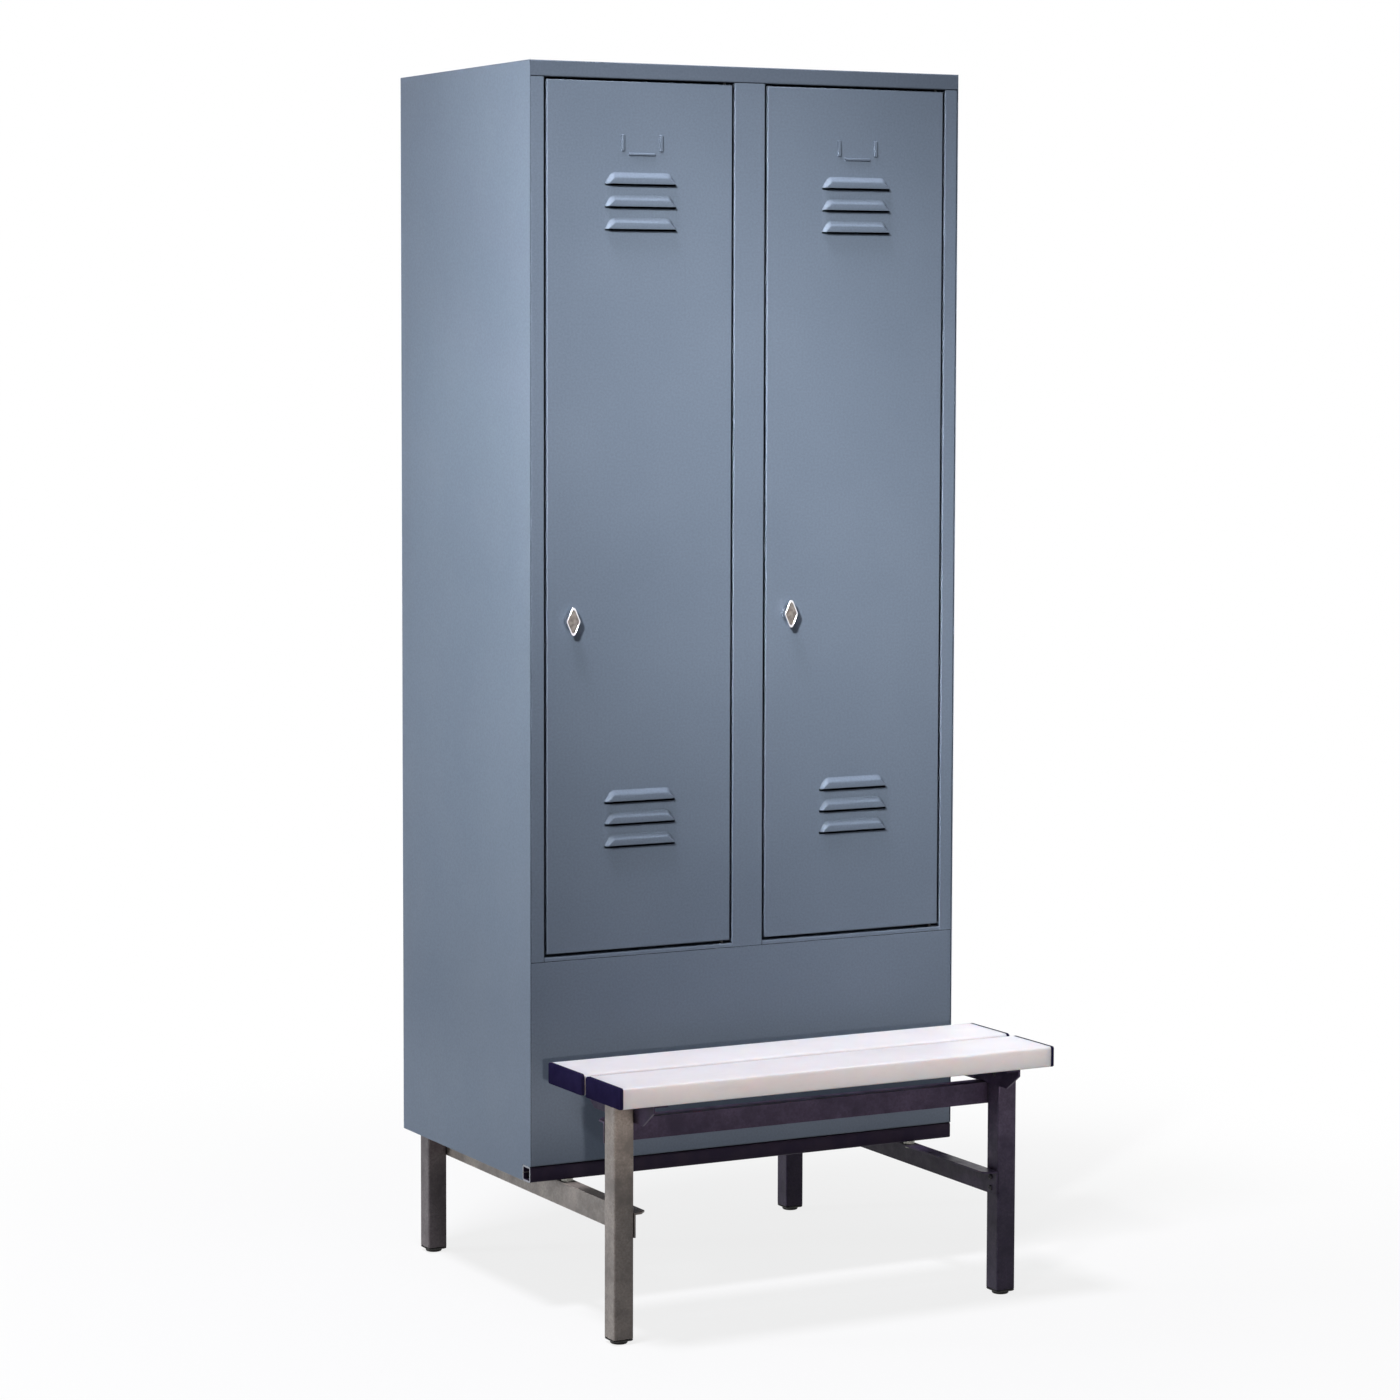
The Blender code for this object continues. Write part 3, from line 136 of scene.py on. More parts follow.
def build_world():
    """A dim world to light the object, which is plain white where it is seen directly."""
    world = bpy.data.worlds.new("studio")
    bpy.context.scene.world = world
    world.use_nodes = True
    tree = world.node_tree
    light = tree.nodes["Background"]
    light.inputs["Color"].default_value = WORLD_COLOUR
    light.inputs["Strength"].default_value = WORLD_LEVEL
    backdrop = tree.nodes.new("ShaderNodeBackground")
    backdrop.inputs["Color"].default_value = WHITE
    mix = tree.nodes.new("ShaderNodeMixShader")
    tree.links.new(seen_directly(tree), mix.inputs[0])
    tree.links.new(light.outputs[0], mix.inputs[1])
    tree.links.new(backdrop.outputs[0], mix.inputs[2])
    tree.links.new(mix.outputs[0], tree.nodes["World Output"].inputs[0])


def build_floor():
    """The floor keeps the object's shadow close by and turns plain white further out. What it throws back
    at the object is darker than what the camera sees of it."""
    bm = bmesh.new()
    bmesh.ops.create_circle(bm, cap_ends=True, segments=96, radius=40.0)
    mesh = bpy.data.meshes.new("floor")
    bm.to_mesh(mesh)
    bm.free()
    floor = bpy.data.objects.new("floor", mesh)
    bpy.context.scene.collection.objects.link(floor)
    finish = bpy.data.materials.new("studio_floor")
    finish.use_nodes = True
    tree = finish.node_tree
    paper = tree.nodes["Principled BSDF"]
    paper.inputs["Base Color"].default_value = FLOOR_LIGHTING
    paper.inputs["Roughness"].default_value = 0.9
    paper.inputs["Specular IOR Level"].default_value = 0.0
    shown = tree.nodes.new("ShaderNodeBsdfDiffuse")
    shown.inputs["Color"].default_value = FLOOR_SEEN
    white = tree.nodes.new("ShaderNodeEmission")
    white.inputs["Color"].default_value = WHITE
    place = tree.nodes.new("ShaderNodeNewGeometry")
    distance = tree.nodes.new("ShaderNodeVectorMath")
    distance.operation = "LENGTH"
    tree.links.new(place.outputs["Position"], distance.inputs[0])
    fade = tree.nodes.new("ShaderNodeMapRange")
    fade.interpolation_type = "SMOOTHSTEP"
    fade.inputs["From Min"].default_value = WHITEN_START
    fade.inputs["From Max"].default_value = WHITEN_END
    fade.inputs["To Min"].default_value = WHITEN_LEAST
    fade.inputs["To Max"].default_value = 1.0
    tree.links.new(distance.outputs["Value"], fade.inputs["Value"])
    whiten = tree.nodes.new("ShaderNodeMixShader")
    tree.links.new(fade.outputs[0], whiten.inputs[0])
    tree.links.new(shown.outputs[0], whiten.inputs[1])
    tree.links.new(white.outputs[0], whiten.inputs[2])
    mix = tree.nodes.new("ShaderNodeMixShader")
    tree.links.new(seen_directly(tree), mix.inputs[0])
    tree.links.new(paper.outputs[0], mix.inputs[1])
    tree.links.new(whiten.outputs[0], mix.inputs[2])
    tree.links.new(mix.outputs[0], tree.nodes["Material Output"].inputs[0])
    mesh.materials.append(finish)


add_lamp("top_lamp", TOP_FROM, TOP_AT, TOP_SIZE, TOP_SIZE, plain_energy(TOP_FROM, TOP_AT, TOP_LEVEL),
         colour=TOP_COLOUR)
add_lamp("pool_lamp", POOL_FROM, POOL_AT, POOL_WIDTH, POOL_HEIGHT, POOL_ENERGY, POOL_BEAM)
add_lamp("side_lamp", SIDE_FROM, SIDE_AT, SIDE_SIZE, SIDE_SIZE, SIDE_ENERGY, SIDE_BEAM, SIDE_COLOUR)
add_lamp("bench_lamp", BENCH_FROM, BENCH_AT, BENCH_WIDTH, BENCH_HEIGHT, BENCH_ENERGY, BENCH_BEAM,
         BENCH_COLOUR)
build_world()
build_floor()

# Underframe
# Square legs of 35 mm steel tube with angles of 3 mm steel screwed to them. The metal is dark grey, sprayed
# thinly, so that it stays mottled; its edges are paler, rubbed and with a painted highlight. Its tone differs
# from piece to piece as painted light and shade, palest at the lit left end and darkest underneath.
FRAME_GRAIN_GAIN = 1.22
FRAME_EDGE_WEAR_AND_HIGHLIGHT_GAIN = 1.55
FRAME_EDGE_WEAR_AND_HIGHLIGHT_WIDTH = 0.0014
FRAME_GAP_REACH = 0.028
# Colour of the painted shade in gaps.
DEEP_SHADE = (0.035, 0.037, 0.042)
EDGE_ANGLE = 40


def linear(colour):
    """The linear value that a shader takes for a colour as seen on screen, by the standard screen curve."""
    return [c / 12.92 if c <= 0.04045 else ((c + 0.055) / 1.055) ** 2.4 for c in colour] + [1.0]


def new_finish(name, colour, roughness, metallic=0.0, gloss=0.5):
    """A plain finish, of a colour as seen on screen."""
    finish = bpy.data.materials.new(name)
    finish.use_nodes = True
    shader = finish.node_tree.nodes["Principled BSDF"]
    shader.inputs["Base Color"].default_value = linear(colour)
    shader.inputs["Roughness"].default_value = roughness
    shader.inputs["Metallic"].default_value = metallic
    shader.inputs["Specular IOR Level"].default_value = gloss
    return finish


def noise(finish, scale, detail=3.0, rough=0.55, stretch=(1.0, 1.0, 1.0)):
    """Noise in the piece's own space. Scale counts its features per metre."""
    tree = finish.node_tree
    place = tree.nodes.new("ShaderNodeTexCoord")
    sized = tree.nodes.new("ShaderNodeMapping")
    sized.inputs["Scale"].default_value = stretch
    made = tree.nodes.new("ShaderNodeTexNoise")
    made.inputs["Scale"].default_value = scale
    made.inputs["Detail"].default_value = detail
    made.inputs["Roughness"].default_value = rough
    tree.links.new(place.outputs["Object"], sized.inputs["Vector"])
    tree.links.new(sized.outputs[0], made.inputs["Vector"])
    return made.outputs["Fac"]


def spread(finish, value, low, high, start=0.35, end=0.65):
    """Spreads the part of a value's range from start to end over other limits."""
    tree = finish.node_tree
    made = tree.nodes.new("ShaderNodeMapRange")
    made.inputs["From Min"].default_value = start
    made.inputs["From Max"].default_value = end
    made.inputs["To Min"].default_value = low
    made.inputs["To Max"].default_value = high
    tree.links.new(value, made.inputs["Value"])
    return made.outputs[0]


def mix_colour(finish, share, first, last):
    """Mixes two colours, each given as seen on screen or as a socket."""
    tree = finish.node_tree
    made = tree.nodes.new("ShaderNodeMix")
    made.data_type = "RGBA"
    tree.links.new(share, made.inputs["Factor"])
    for name, colour in (("A", first), ("B", last)):
        socket = [s for s in made.inputs if s.name == name and s.type == "RGBA"][0]
        if isinstance(colour, bpy.types.NodeSocket):
            tree.links.new(colour, socket)
        else:
            socket.default_value = linear(colour)
    return [s for s in made.outputs if s.type == "RGBA"][0]


def set_input(finish, name, value):
    """Links a value to an input of the finish's shader."""
    shader = finish.node_tree.nodes["Principled BSDF"]
    finish.node_tree.links.new(value, shader.inputs[name])


def add_bump(finish, height, depth, strength=0.5):
    """Raises the surface by a height map, whose full range is a depth in metres."""
    tree = finish.node_tree
    shader = tree.nodes["Principled BSDF"]
    made = tree.nodes.new("ShaderNodeBump")
    made.inputs["Strength"].default_value = strength
    made.inputs["Distance"].default_value = depth
    tree.links.new(height, made.inputs["Height"])
    if shader.inputs["Normal"].links:
        tree.links.new(shader.inputs["Normal"].links[0].from_socket, made.inputs["Normal"])
    tree.links.new(made.outputs[0], shader.inputs["Normal"])


# The mask of the paler edges, which stand for rubbed paint and a painted highlight both.
def rubbed_and_lit_edge(finish, radius):
    """1 along sharp edges, within the radius, and 0 on flat faces."""
    tree = finish.node_tree
    round_normal = tree.nodes.new("ShaderNodeBevel")
    round_normal.samples = 4
    round_normal.inputs["Radius"].default_value = radius
    flat = tree.nodes.new("ShaderNodeNewGeometry")
    match = tree.nodes.new("ShaderNodeVectorMath")
    match.operation = "DOT_PRODUCT"
    tree.links.new(round_normal.outputs[0], match.inputs[0])
    tree.links.new(flat.outputs["Normal"], match.inputs[1])
    return spread(finish, match.outputs["Value"], 1.0, 0.0, start=0.80, end=0.97)


def paint_gap_shade(finish, colour, reach, deep=DEEP_SHADE):
    """Paints shade into a colour: it goes dark where other faces stand within the reach, as in a gap."""
    near = finish.node_tree.nodes.new("ShaderNodeAmbientOcclusion")
    near.samples = 6
    near.inputs["Distance"].default_value = reach
    share = spread(finish, near.outputs["AO"], 0.0, 1.0, start=0.22, end=0.72)
    return mix_colour(finish, share, deep, colour)


def multiply(finish, first, last):
    made = finish.node_tree.nodes.new("ShaderNodeMath")
    made.operation = "MULTIPLY"
    finish.node_tree.links.new(first, made.inputs[0])
    finish.node_tree.links.new(last, made.inputs[1])
    return made.outputs[0]


def lighter(colour, gain):
    return [min(1.0, c * gain) for c in colour]


def frame_metal(name, deep, pale, gloss):
    """Thin dark paint on steel, clouded between a deep and a pale tone, with paler edges that are both rubbed
    paint and painted highlight, and painted shade in gaps.
    """
    finish = new_finish(name, deep, roughness=0.40, gloss=gloss)
    clouds = spread(finish, noise(finish, 22.0, detail=6.0, rough=0.62), 0.0, 1.0, start=0.36, end=0.66)
    grain = spread(finish, noise(finish, 240.0, detail=4.0, rough=0.7), 0.0, 1.0, start=0.36, end=0.66)
    colour = mix_colour(finish, clouds, deep, pale)
    colour = mix_colour(finish, multiply(finish, grain, clouds), colour, lighter(pale, FRAME_GRAIN_GAIN))
    paler_edge_patches = spread(finish, noise(finish, 110.0), 0.1, 0.9)
    edge = multiply(finish, rubbed_and_lit_edge(finish, FRAME_EDGE_WEAR_AND_HIGHLIGHT_WIDTH), paler_edge_patches)
    colour = mix_colour(finish, edge, colour, lighter(pale, FRAME_EDGE_WEAR_AND_HIGHLIGHT_GAIN))
    # Painted shade in gaps, reaching far enough to darken the stretchers under the body's floor.
    set_input(finish, "Base Color", paint_gap_shade(finish, colour, FRAME_GAP_REACH))
    set_input(finish, "Roughness", spread(finish, noise(finish, 50.0, detail=4.0), 0.32, 0.46))
    add_bump(finish, noise(finish, 900.0, detail=2.0), depth=0.00008)
    return finish


def dress(name, finish, bevel=0.0):
    """Gives a CAD node its finish, and by a bevel rounds its edges a little so that they catch the light."""
    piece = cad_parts[name]
    piece.data.materials.clear()
    piece.data.materials.append(finish)
    for face in piece.data.polygons:
        face.material_index = 0
    if bevel:
        edge = piece.modifiers.new("edge", "BEVEL")
        edge.width = bevel
        edge.segments = 2
        edge.limit_method = "ANGLE"
        edge.angle_limit = math.radians(EDGE_ANGLE)
        edge.harden_normals = True


# Copies of one paint, paler or darker as painted light and shade: lit at the left end, shaded behind and
# underneath.
lit_frame_metal = frame_metal("mottled_paint_lit", (0.474, 0.446, 0.428), (0.568, 0.534, 0.508), gloss=0.35)
half_shaded_frame_metal = frame_metal("mottled_paint_half_shaded", (0.365, 0.338, 0.350), (0.430, 0.402, 0.410), gloss=0.20)
shaded_frame_metal = frame_metal("mottled_paint_shaded", (0.190, 0.160, 0.238), (0.250, 0.216, 0.292), gloss=0.15)
violet_shaded_frame_metal = frame_metal("mottled_violet_paint_shaded", (0.222, 0.196, 0.268), (0.285, 0.255, 0.325), gloss=0.15)
for part in ("front_left_leg", "left_stretcher"):
    dress(part, lit_frame_metal)
dress("rear_left_leg", half_shaded_frame_metal)
dress("front_right_leg", violet_shaded_frame_metal)
for part in ("rear_right_leg", "right_stretcher", "seat_cross_rail", "rear_cross_rail", "left_seat_bearer",
             "right_seat_bearer"):
    dress(part, shaded_frame_metal)

# Screws of the underframe
# Small pan heads hold the angles to the legs and, from below, the bearers to the slats. They are black
# zinc plated, with a cross recess. The bolts of the base rails are plain zinc.
SCREW_RADIUS = 0.0046
SCREW_STEPS = 16
HEAD_PROFILE = ((1.0, 0.0), (1.0, 0.25), (0.9, 0.45), (0.6, 0.58), (0.3, 0.6))
RECESS_ARM = 0.5
RECESS_WAIST = 0.16
RECESS_FLOOR = 0.35
ANGLE_WALL = 0.003
STRETCHER_SCREW_INSET = 0.0175
STRETCHER_SCREW_DROPS = (0.012, 0.030)
BEARER_SCREW_INSET = 0.009
BEARER_SCREW_DROP = 0.019
SLAT_SCREW_SHARES = (0.24, 0.76)
SMOOTH_ANGLE = 32
EDGE_ROUND = 0.0003


def zinc():
    finish = new_finish("zinc_plate", (0.62, 0.62, 0.60), roughness=0.46, metallic=0.9)
    patches = spread(finish, noise(finish, 420.0, detail=4.0), 0.0, 1.0, start=0.4, end=0.62)
    set_input(finish, "Base Color", mix_colour(finish, patches, (0.55, 0.55, 0.53), (0.70, 0.70, 0.67)))
    set_input(finish, "Roughness", spread(finish, noise(finish, 800.0), 0.40, 0.55))
    return finish


def black_zinc():
    finish = new_finish("black_zinc_plate", (0.17, 0.16, 0.18), roughness=0.42, metallic=0.55)
    patches = spread(finish, noise(finish, 420.0, detail=4.0), 0.0, 1.0, start=0.4, end=0.62)
    set_input(finish, "Base Color", mix_colour(finish, patches, (0.14, 0.13, 0.15), (0.21, 0.20, 0.22)))
    return finish


def new_piece(name, bm, finishes, smooth_angle):
    """Turns a mesh into an object that shades smooth, but for edges sharper than an angle in degrees."""
    mesh = bpy.data.meshes.new(name)
    bm.to_mesh(mesh)
    bm.free()
    mesh.shade_smooth()
    mesh.set_sharp_from_angle(angle=math.radians(smooth_angle))
    for finish in finishes:
        mesh.materials.append(finish)
    piece = bpy.data.objects.new(name, mesh)
    bpy.context.scene.collection.objects.link(piece)
    return piece


def finished(name, bm, finishes, body, stands_for):
    """Turns a solid into a piece that rides a body and may stand for CAD nodes."""
    bmesh.ops.recalc_face_normals(bm, faces=bm.faces)
    piece = new_piece(name, bm, finishes, SMOOTH_ANGLE)
    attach(piece, body)
    if stands_for:
        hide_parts(*stands_for)


def bridge(bm, rings):
    """Joins closed rings of vertices, all of one count, each to the next."""
    count = len(rings[0])
    for low, high in zip(rings, rings[1:]):
        for i in range(count):
            ahead = (i + 1) % count
            bm.faces.new((low[i], low[ahead], high[ahead], high[i]))


def stack(bm, rings):
    """Makes a closed solid from rings of 3-D points, all of one count, and returns its rings of vertices."""
    made = [[bm.verts.new(point) for point in ring] for ring in rings]
    bridge(bm, made)
    bm.faces.new(list(reversed(made[0])))
    bm.faces.new(made[-1])
    return made


def facing(direction):
    """The turn that brings the vertical to a direction."""
    return Vector((0, 0, 1)).rotation_difference(Vector(direction)).to_matrix()


def add_turned(bm, profile, origin, direction, steps):
    """Turns (radius, height) points about a direction through an origin, as a closed solid."""
    rings = []
    for radius, height in profile:
        ring = []
        for i in range(steps):
            turn = 2 * math.pi * i / steps
            point = Vector((radius * math.cos(turn), radius * math.sin(turn), height))
            ring.append(Vector(origin) + facing(direction) @ point)
        rings.append(ring)
    return stack(bm, rings)


def add_screw_head(bm, place, direction):
    """A pan head on a face, with a four-armed recess sunk in its crown."""
    profile = [(SCREW_RADIUS * across, SCREW_RADIUS * up) for across, up in HEAD_PROFILE]
    crown = add_turned(bm, profile, place, direction, SCREW_STEPS)[-1]
    for i, corner in enumerate(crown):
        reach = SCREW_RADIUS * (RECESS_ARM if i % 4 == 0 else RECESS_WAIST)
        turn = 2 * math.pi * i / SCREW_STEPS
        point = Vector((reach * math.cos(turn), reach * math.sin(turn), SCREW_RADIUS * RECESS_FLOOR))
        corner.co = Vector(place) + facing(direction) @ point


def inner_face(side, low, high):
    """X of the inner face of an angle's upright wall, which stands at the angle's outer side."""
    return low[0] + ANGLE_WALL if side == "left" else high[0] - ANGLE_WALL


def frame_screws():
    """Screw heads of the stretchers, the seat bearers, the slats and the seat cross rail."""
    bm = bmesh.new()
    for side, inward in (("left", (1, 0, 0)), ("right", (-1, 0, 0))):
        low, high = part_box(side + "_stretcher")
        for y in (low[1] + STRETCHER_SCREW_INSET, high[1] - STRETCHER_SCREW_INSET):
            for drop in STRETCHER_SCREW_DROPS:
                add_screw_head(bm, (inner_face(side, low, high), y, high[2] - drop), inward)
        low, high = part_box(side + "_seat_bearer")
        leg_low, leg_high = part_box("front_" + side + "_leg")
        for y in (leg_low[1] + BEARER_SCREW_INSET, leg_high[1] - BEARER_SCREW_INSET):
            add_screw_head(bm, (inner_face(side, low, high), y, high[2] - BEARER_SCREW_DROP), inward)
        x = (low[0] + high[0]) / 2
        for slat in ("front_slat", "rear_slat"):
            slat_low, slat_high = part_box(slat)
            for share in SLAT_SCREW_SHARES:
                y = slat_low[1] + (slat_high[1] - slat_low[1]) * share
                add_screw_head(bm, (x, y, high[2] - ANGLE_WALL), (0, 0, -1))
        rail_low, rail_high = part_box("seat_cross_rail")
        x = (leg_low[0] + leg_high[0]) / 2
        add_screw_head(bm, (x, rail_low[1] + ANGLE_WALL, (rail_low[2] + rail_high[2]) / 2), (0, 1, 0))
    finished("underframe_screw_heads", bm, [black_zinc()], "cabinet", [])


zinc_finish = zinc()
frame_screws()
for part in ("front_left_base_bolt", "front_right_base_bolt", "rear_left_base_bolt", "rear_right_base_bolt"):
    dress(part, zinc_finish, EDGE_ROUND)

# Feet
# Black moulded plugs pressed into the legs, each with a square flange as wide as the tube and a round
# pad below it that stands on the floor.
FOOT_CORNER = 0.0034
FOOT_CORNER_STEPS = 5
FLANGE_LEVELS = ((0.0052, 0.0016), (0.0060, 0.0004), (0.0066, 0.0), (0.0082, 0.0), (0.0090, 0.0008))
PAD_PROFILE = ((0.0118, 0.0), (0.0130, 0.0004), (0.0139, 0.0014), (0.0142, 0.0028), (0.0136, 0.0056))
PAD_STEPS = 40


def foot_plastic():
    finish = new_finish("black_moulded_plastic", (0.065, 0.062, 0.064), roughness=0.55, gloss=0.25)
    set_input(finish, "Roughness", spread(finish, noise(finish, 160.0, detail=4.0), 0.45, 0.68))
    dust = spread(finish, noise(finish, 90.0, detail=5.0, rough=0.6), 0.0, 0.5, start=0.45, end=0.7)
    set_input(finish, "Base Color", mix_colour(finish, dust, (0.060, 0.057, 0.060), (0.16, 0.15, 0.145)))
    add_bump(finish, noise(finish, 1500.0, detail=2.0), depth=0.00006)
    return finish


def round_corners(half_width, half_height, radius, steps, centre=(0.0, 0.0)):
    """Points of a rectangle whose corners are arcs."""
    ring = []
    for quarter in range(4):
        middle = math.pi / 4 + quarter * math.pi / 2
        x = centre[0] + math.copysign(half_width - radius, math.cos(middle))
        y = centre[1] + math.copysign(half_height - radius, math.sin(middle))
        for i in range(steps + 1):
            turn = quarter * math.pi / 2 + math.pi / 2 * i / steps
            ring.append((x + radius * math.cos(turn), y + radius * math.sin(turn)))
    return ring


def make_foot(name):
    """The flange's levels are heights with the inset of its edge there."""
    low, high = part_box(name)
    x, y = (low[0] + high[0]) / 2, (low[1] + high[1]) / 2
    half = (high[0] - low[0]) / 2
    bm = bmesh.new()
    rings = []
    for z, inset in FLANGE_LEVELS:
        outline = round_corners(half - inset, half - inset, FOOT_CORNER, FOOT_CORNER_STEPS)
        rings.append([(x + u, y + v, z) for u, v in outline])
    stack(bm, rings)
    add_turned(bm, PAD_PROFILE, (x, y, low[2]), (0, 0, 1), PAD_STEPS)
    finished(name + "_moulding", bm, [black_plastic], "cabinet", [name])


black_plastic = foot_plastic()
for part in ("front_left_foot", "front_right_foot", "rear_left_foot", "rear_right_foot"):
    make_foot(part)

# Base rails
# Folded channels under the front and the back of the body, in black. Their lips nearly meet at the back,
# and their open ends show the light cut edge of the sheet.
RAIL_WALL = 0.0030
RAIL_BEND = 0.0042
RAIL_BEND_STEPS = 4
RAIL_SLOT = 0.0010
RAIL_EDGE_WEAR_AND_HIGHLIGHT_WIDTH = 0.0010
RAIL_GAP_REACH = 0.010


def rail_paint():
    finish = new_finish("black_powder_coat", (0.165, 0.135, 0.205), roughness=0.50, gloss=0.10)
    patches = spread(finish, noise(finish, 26.0, detail=4.0), 0.0, 1.0, start=0.4, end=0.62)
    colour = mix_colour(finish, patches, (0.152, 0.122, 0.196), (0.188, 0.158, 0.218))
    # Paler edges, both rubbed paint and painted highlight; then painted shade inside the channel and in gaps.
    paler_edge_patches = spread(finish, noise(finish, 90.0), 0.2, 0.8)
    edge = multiply(finish, rubbed_and_lit_edge(finish, RAIL_EDGE_WEAR_AND_HIGHLIGHT_WIDTH), paler_edge_patches)
    colour = mix_colour(finish, edge, colour, (0.40, 0.40, 0.46))
    set_input(finish, "Base Color", paint_gap_shade(finish, colour, RAIL_GAP_REACH))
    add_bump(finish, noise(finish, 800.0, detail=2.0), depth=0.0001)
    return finish


def cut_edge():
    finish = new_finish("sawn_steel", (0.56, 0.57, 0.60), roughness=0.45, metallic=0.35)
    saw_marks = noise(finish, 500.0, rough=0.6, stretch=(1.0, 1.0, 0.1))
    marks = spread(finish, saw_marks, 0.0, 1.0)
    set_input(finish, "Base Color", mix_colour(finish, marks, (0.50, 0.51, 0.55), (0.64, 0.65, 0.68)))
    return finish


def box_ring(y0, y1, z0, z1, radius, slot):
    """Open outline in (y, z) of a box with round corners and a slot in the middle of its rear wall."""
    middle = (z0 + z1) / 2
    ring = [(y1, middle + slot / 2)]
    for y, z, quarter in ((y1 - radius, z1 - radius, 0), (y0 + radius, z1 - radius, 1),
                          (y0 + radius, z0 + radius, 2), (y1 - radius, z0 + radius, 3)):
        for i in range(RAIL_BEND_STEPS + 1):
            turn = math.pi / 2 * (quarter + i / RAIL_BEND_STEPS)
            ring.append((y + radius * math.cos(turn), z + radius * math.sin(turn)))
    return ring + [(y1, middle - slot / 2)]


def make_base_rail(name):
    """Its two ends show the cut edge, and the rest is painted."""
    low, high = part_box(name)
    outer = box_ring(low[1], high[1], low[2], high[2], RAIL_BEND, RAIL_SLOT)
    inner = box_ring(low[1] + RAIL_WALL, high[1] - RAIL_WALL, low[2] + RAIL_WALL, high[2] - RAIL_WALL,
                     RAIL_BEND - RAIL_WALL, RAIL_SLOT)
    section = outer + inner[::-1]
    bm = bmesh.new()
    near = [bm.verts.new((low[0], y, z)) for y, z in section]
    far = [bm.verts.new((high[0], y, z)) for y, z in section]
    count = len(section)
    for i in range(count):
        ahead = (i + 1) % count
        bm.faces.new((near[i], near[ahead], far[ahead], far[i]))
    for i in range(len(outer) - 1):
        for ring in (near, far):
            bm.faces.new((ring[i], ring[i + 1], ring[count - 2 - i], ring[count - 1 - i])).material_index = 1
    finished(name + "_folding", bm, [rail_finish, sawn_finish], "cabinet", [name])


rail_finish = rail_paint()
sawn_finish = cut_edge()
make_base_rail("front_base_rail")
make_base_rail("rear_base_rail")

# Body
# Sheets of 1.2 mm steel, folded and spot welded, under blue-grey powder coat, with darker copies inside and
# on the head rail as painted shade. The coat has a fine orange peel, with faint clouds where it went on
# thicker.
COAT_DRIFT = 0.012
COAT_SPECK_SHADE = (0.955, 0.955, 0.955)
COAT_EDGE_WEAR_AND_HIGHLIGHT_GAIN = 1.22
COAT_EDGE_WEAR_AND_HIGHLIGHT_WIDTH = 0.0009
COAT_GAP_REACH = 0.008


def shaded_by(finish, first, last):
    """Multiplies two colours, each given as a socket."""
    tree = finish.node_tree
    made = tree.nodes.new("ShaderNodeMix")
    made.data_type = "RGBA"
    made.blend_type = "MULTIPLY"
    made.inputs["Factor"].default_value = 1.0
    sockets = [s for s in made.inputs if s.type == "RGBA"]
    tree.links.new(first, sockets[0])
    tree.links.new(last, sockets[1])
    return [s for s in made.outputs if s.type == "RGBA"][0]


def powder_coat(name, colour):
    """Paint that drifts a little about its colour, with fine darker specks, paler edges that are rubbed paint
    and painted highlight both, and painted shade in gaps.
    """
    finish = new_finish(name, colour, roughness=0.52, gloss=0.18)
    clouds = spread(finish, noise(finish, 2.2, detail=4.0), 0.0, 1.0, start=0.35, end=0.65)
    specks = spread(finish, noise(finish, 260.0, rough=0.7), 0.0, 1.0, start=0.38, end=0.62)
    drifted = mix_colour(finish, clouds, [c - COAT_DRIFT for c in colour], [c + COAT_DRIFT for c in colour])
    result = shaded_by(finish, drifted, mix_colour(finish, specks, COAT_SPECK_SHADE, (1.0, 1.0, 1.0)))
    paler_edge_patches = spread(finish, noise(finish, 70.0, detail=4.0), 0.0, 0.7)
    edge = multiply(finish, rubbed_and_lit_edge(finish, COAT_EDGE_WEAR_AND_HIGHLIGHT_WIDTH), paler_edge_patches)
    result = mix_colour(finish, edge, result, lighter(colour, COAT_EDGE_WEAR_AND_HIGHLIGHT_GAIN))
    # Painted shade in the door gaps, seams and the creases of the pressings.
    set_input(finish, "Base Color", paint_gap_shade(finish, result, COAT_GAP_REACH))
    set_input(finish, "Roughness", spread(finish, noise(finish, 6.0, detail=4.0), 0.48, 0.56))
    add_bump(finish, noise(finish, 650.0, detail=2.0, rough=0.5), depth=0.00012, strength=0.45)
    return finish


body_coat = powder_coat("blue_grey_powder_coat_outside", (0.440, 0.489, 0.554))
# A darker copy of the coat for the parts inside, as painted shade.
shaded_inside_coat = powder_coat("blue_grey_powder_coat_inside_shaded", (0.422, 0.470, 0.534))
for part in ("left_side_panel", "right_side_panel", "back_panel", "top_panel", "floor_panel",
             "lower_front_panel", "left_stile", "centre_stile", "right_stile"):
    dress(part, body_coat, EDGE_ROUND)
# The head rail gets a darker copy of the coat: painted shade where the light falls off at the top.
dress("head_rail", powder_coat("blue_grey_powder_coat_rail_shaded", (0.385, 0.427, 0.486)), EDGE_ROUND)
for part in ("centre_partition", "left_hat_shelf", "right_hat_shelf", "left_door_stop", "right_door_stop",
             "left_door_stiffener", "right_door_stiffener"):
    dress(part, shaded_inside_coat, EDGE_ROUND)

# Coat rails and hooks
# A chromed tube across each compartment, with a round flange at each end against the wall. Two hooks of
# bent wire hang on it by bands, plated with zinc.


def chrome():
    finish = new_finish("bright_chrome", (0.96, 0.96, 0.975), roughness=0.10, metallic=1.0)
    set_input(finish, "Roughness", spread(finish, noise(finish, 300.0, detail=4.0), 0.07, 0.16))
    return finish


chrome_finish = chrome()
for part in ("left_coat_rail", "right_coat_rail"):
    dress(part, chrome_finish)
for part in ("left_coat_hook_1", "left_coat_hook_2", "right_coat_hook_1", "right_coat_hook_2"):
    dress(part, zinc_finish)

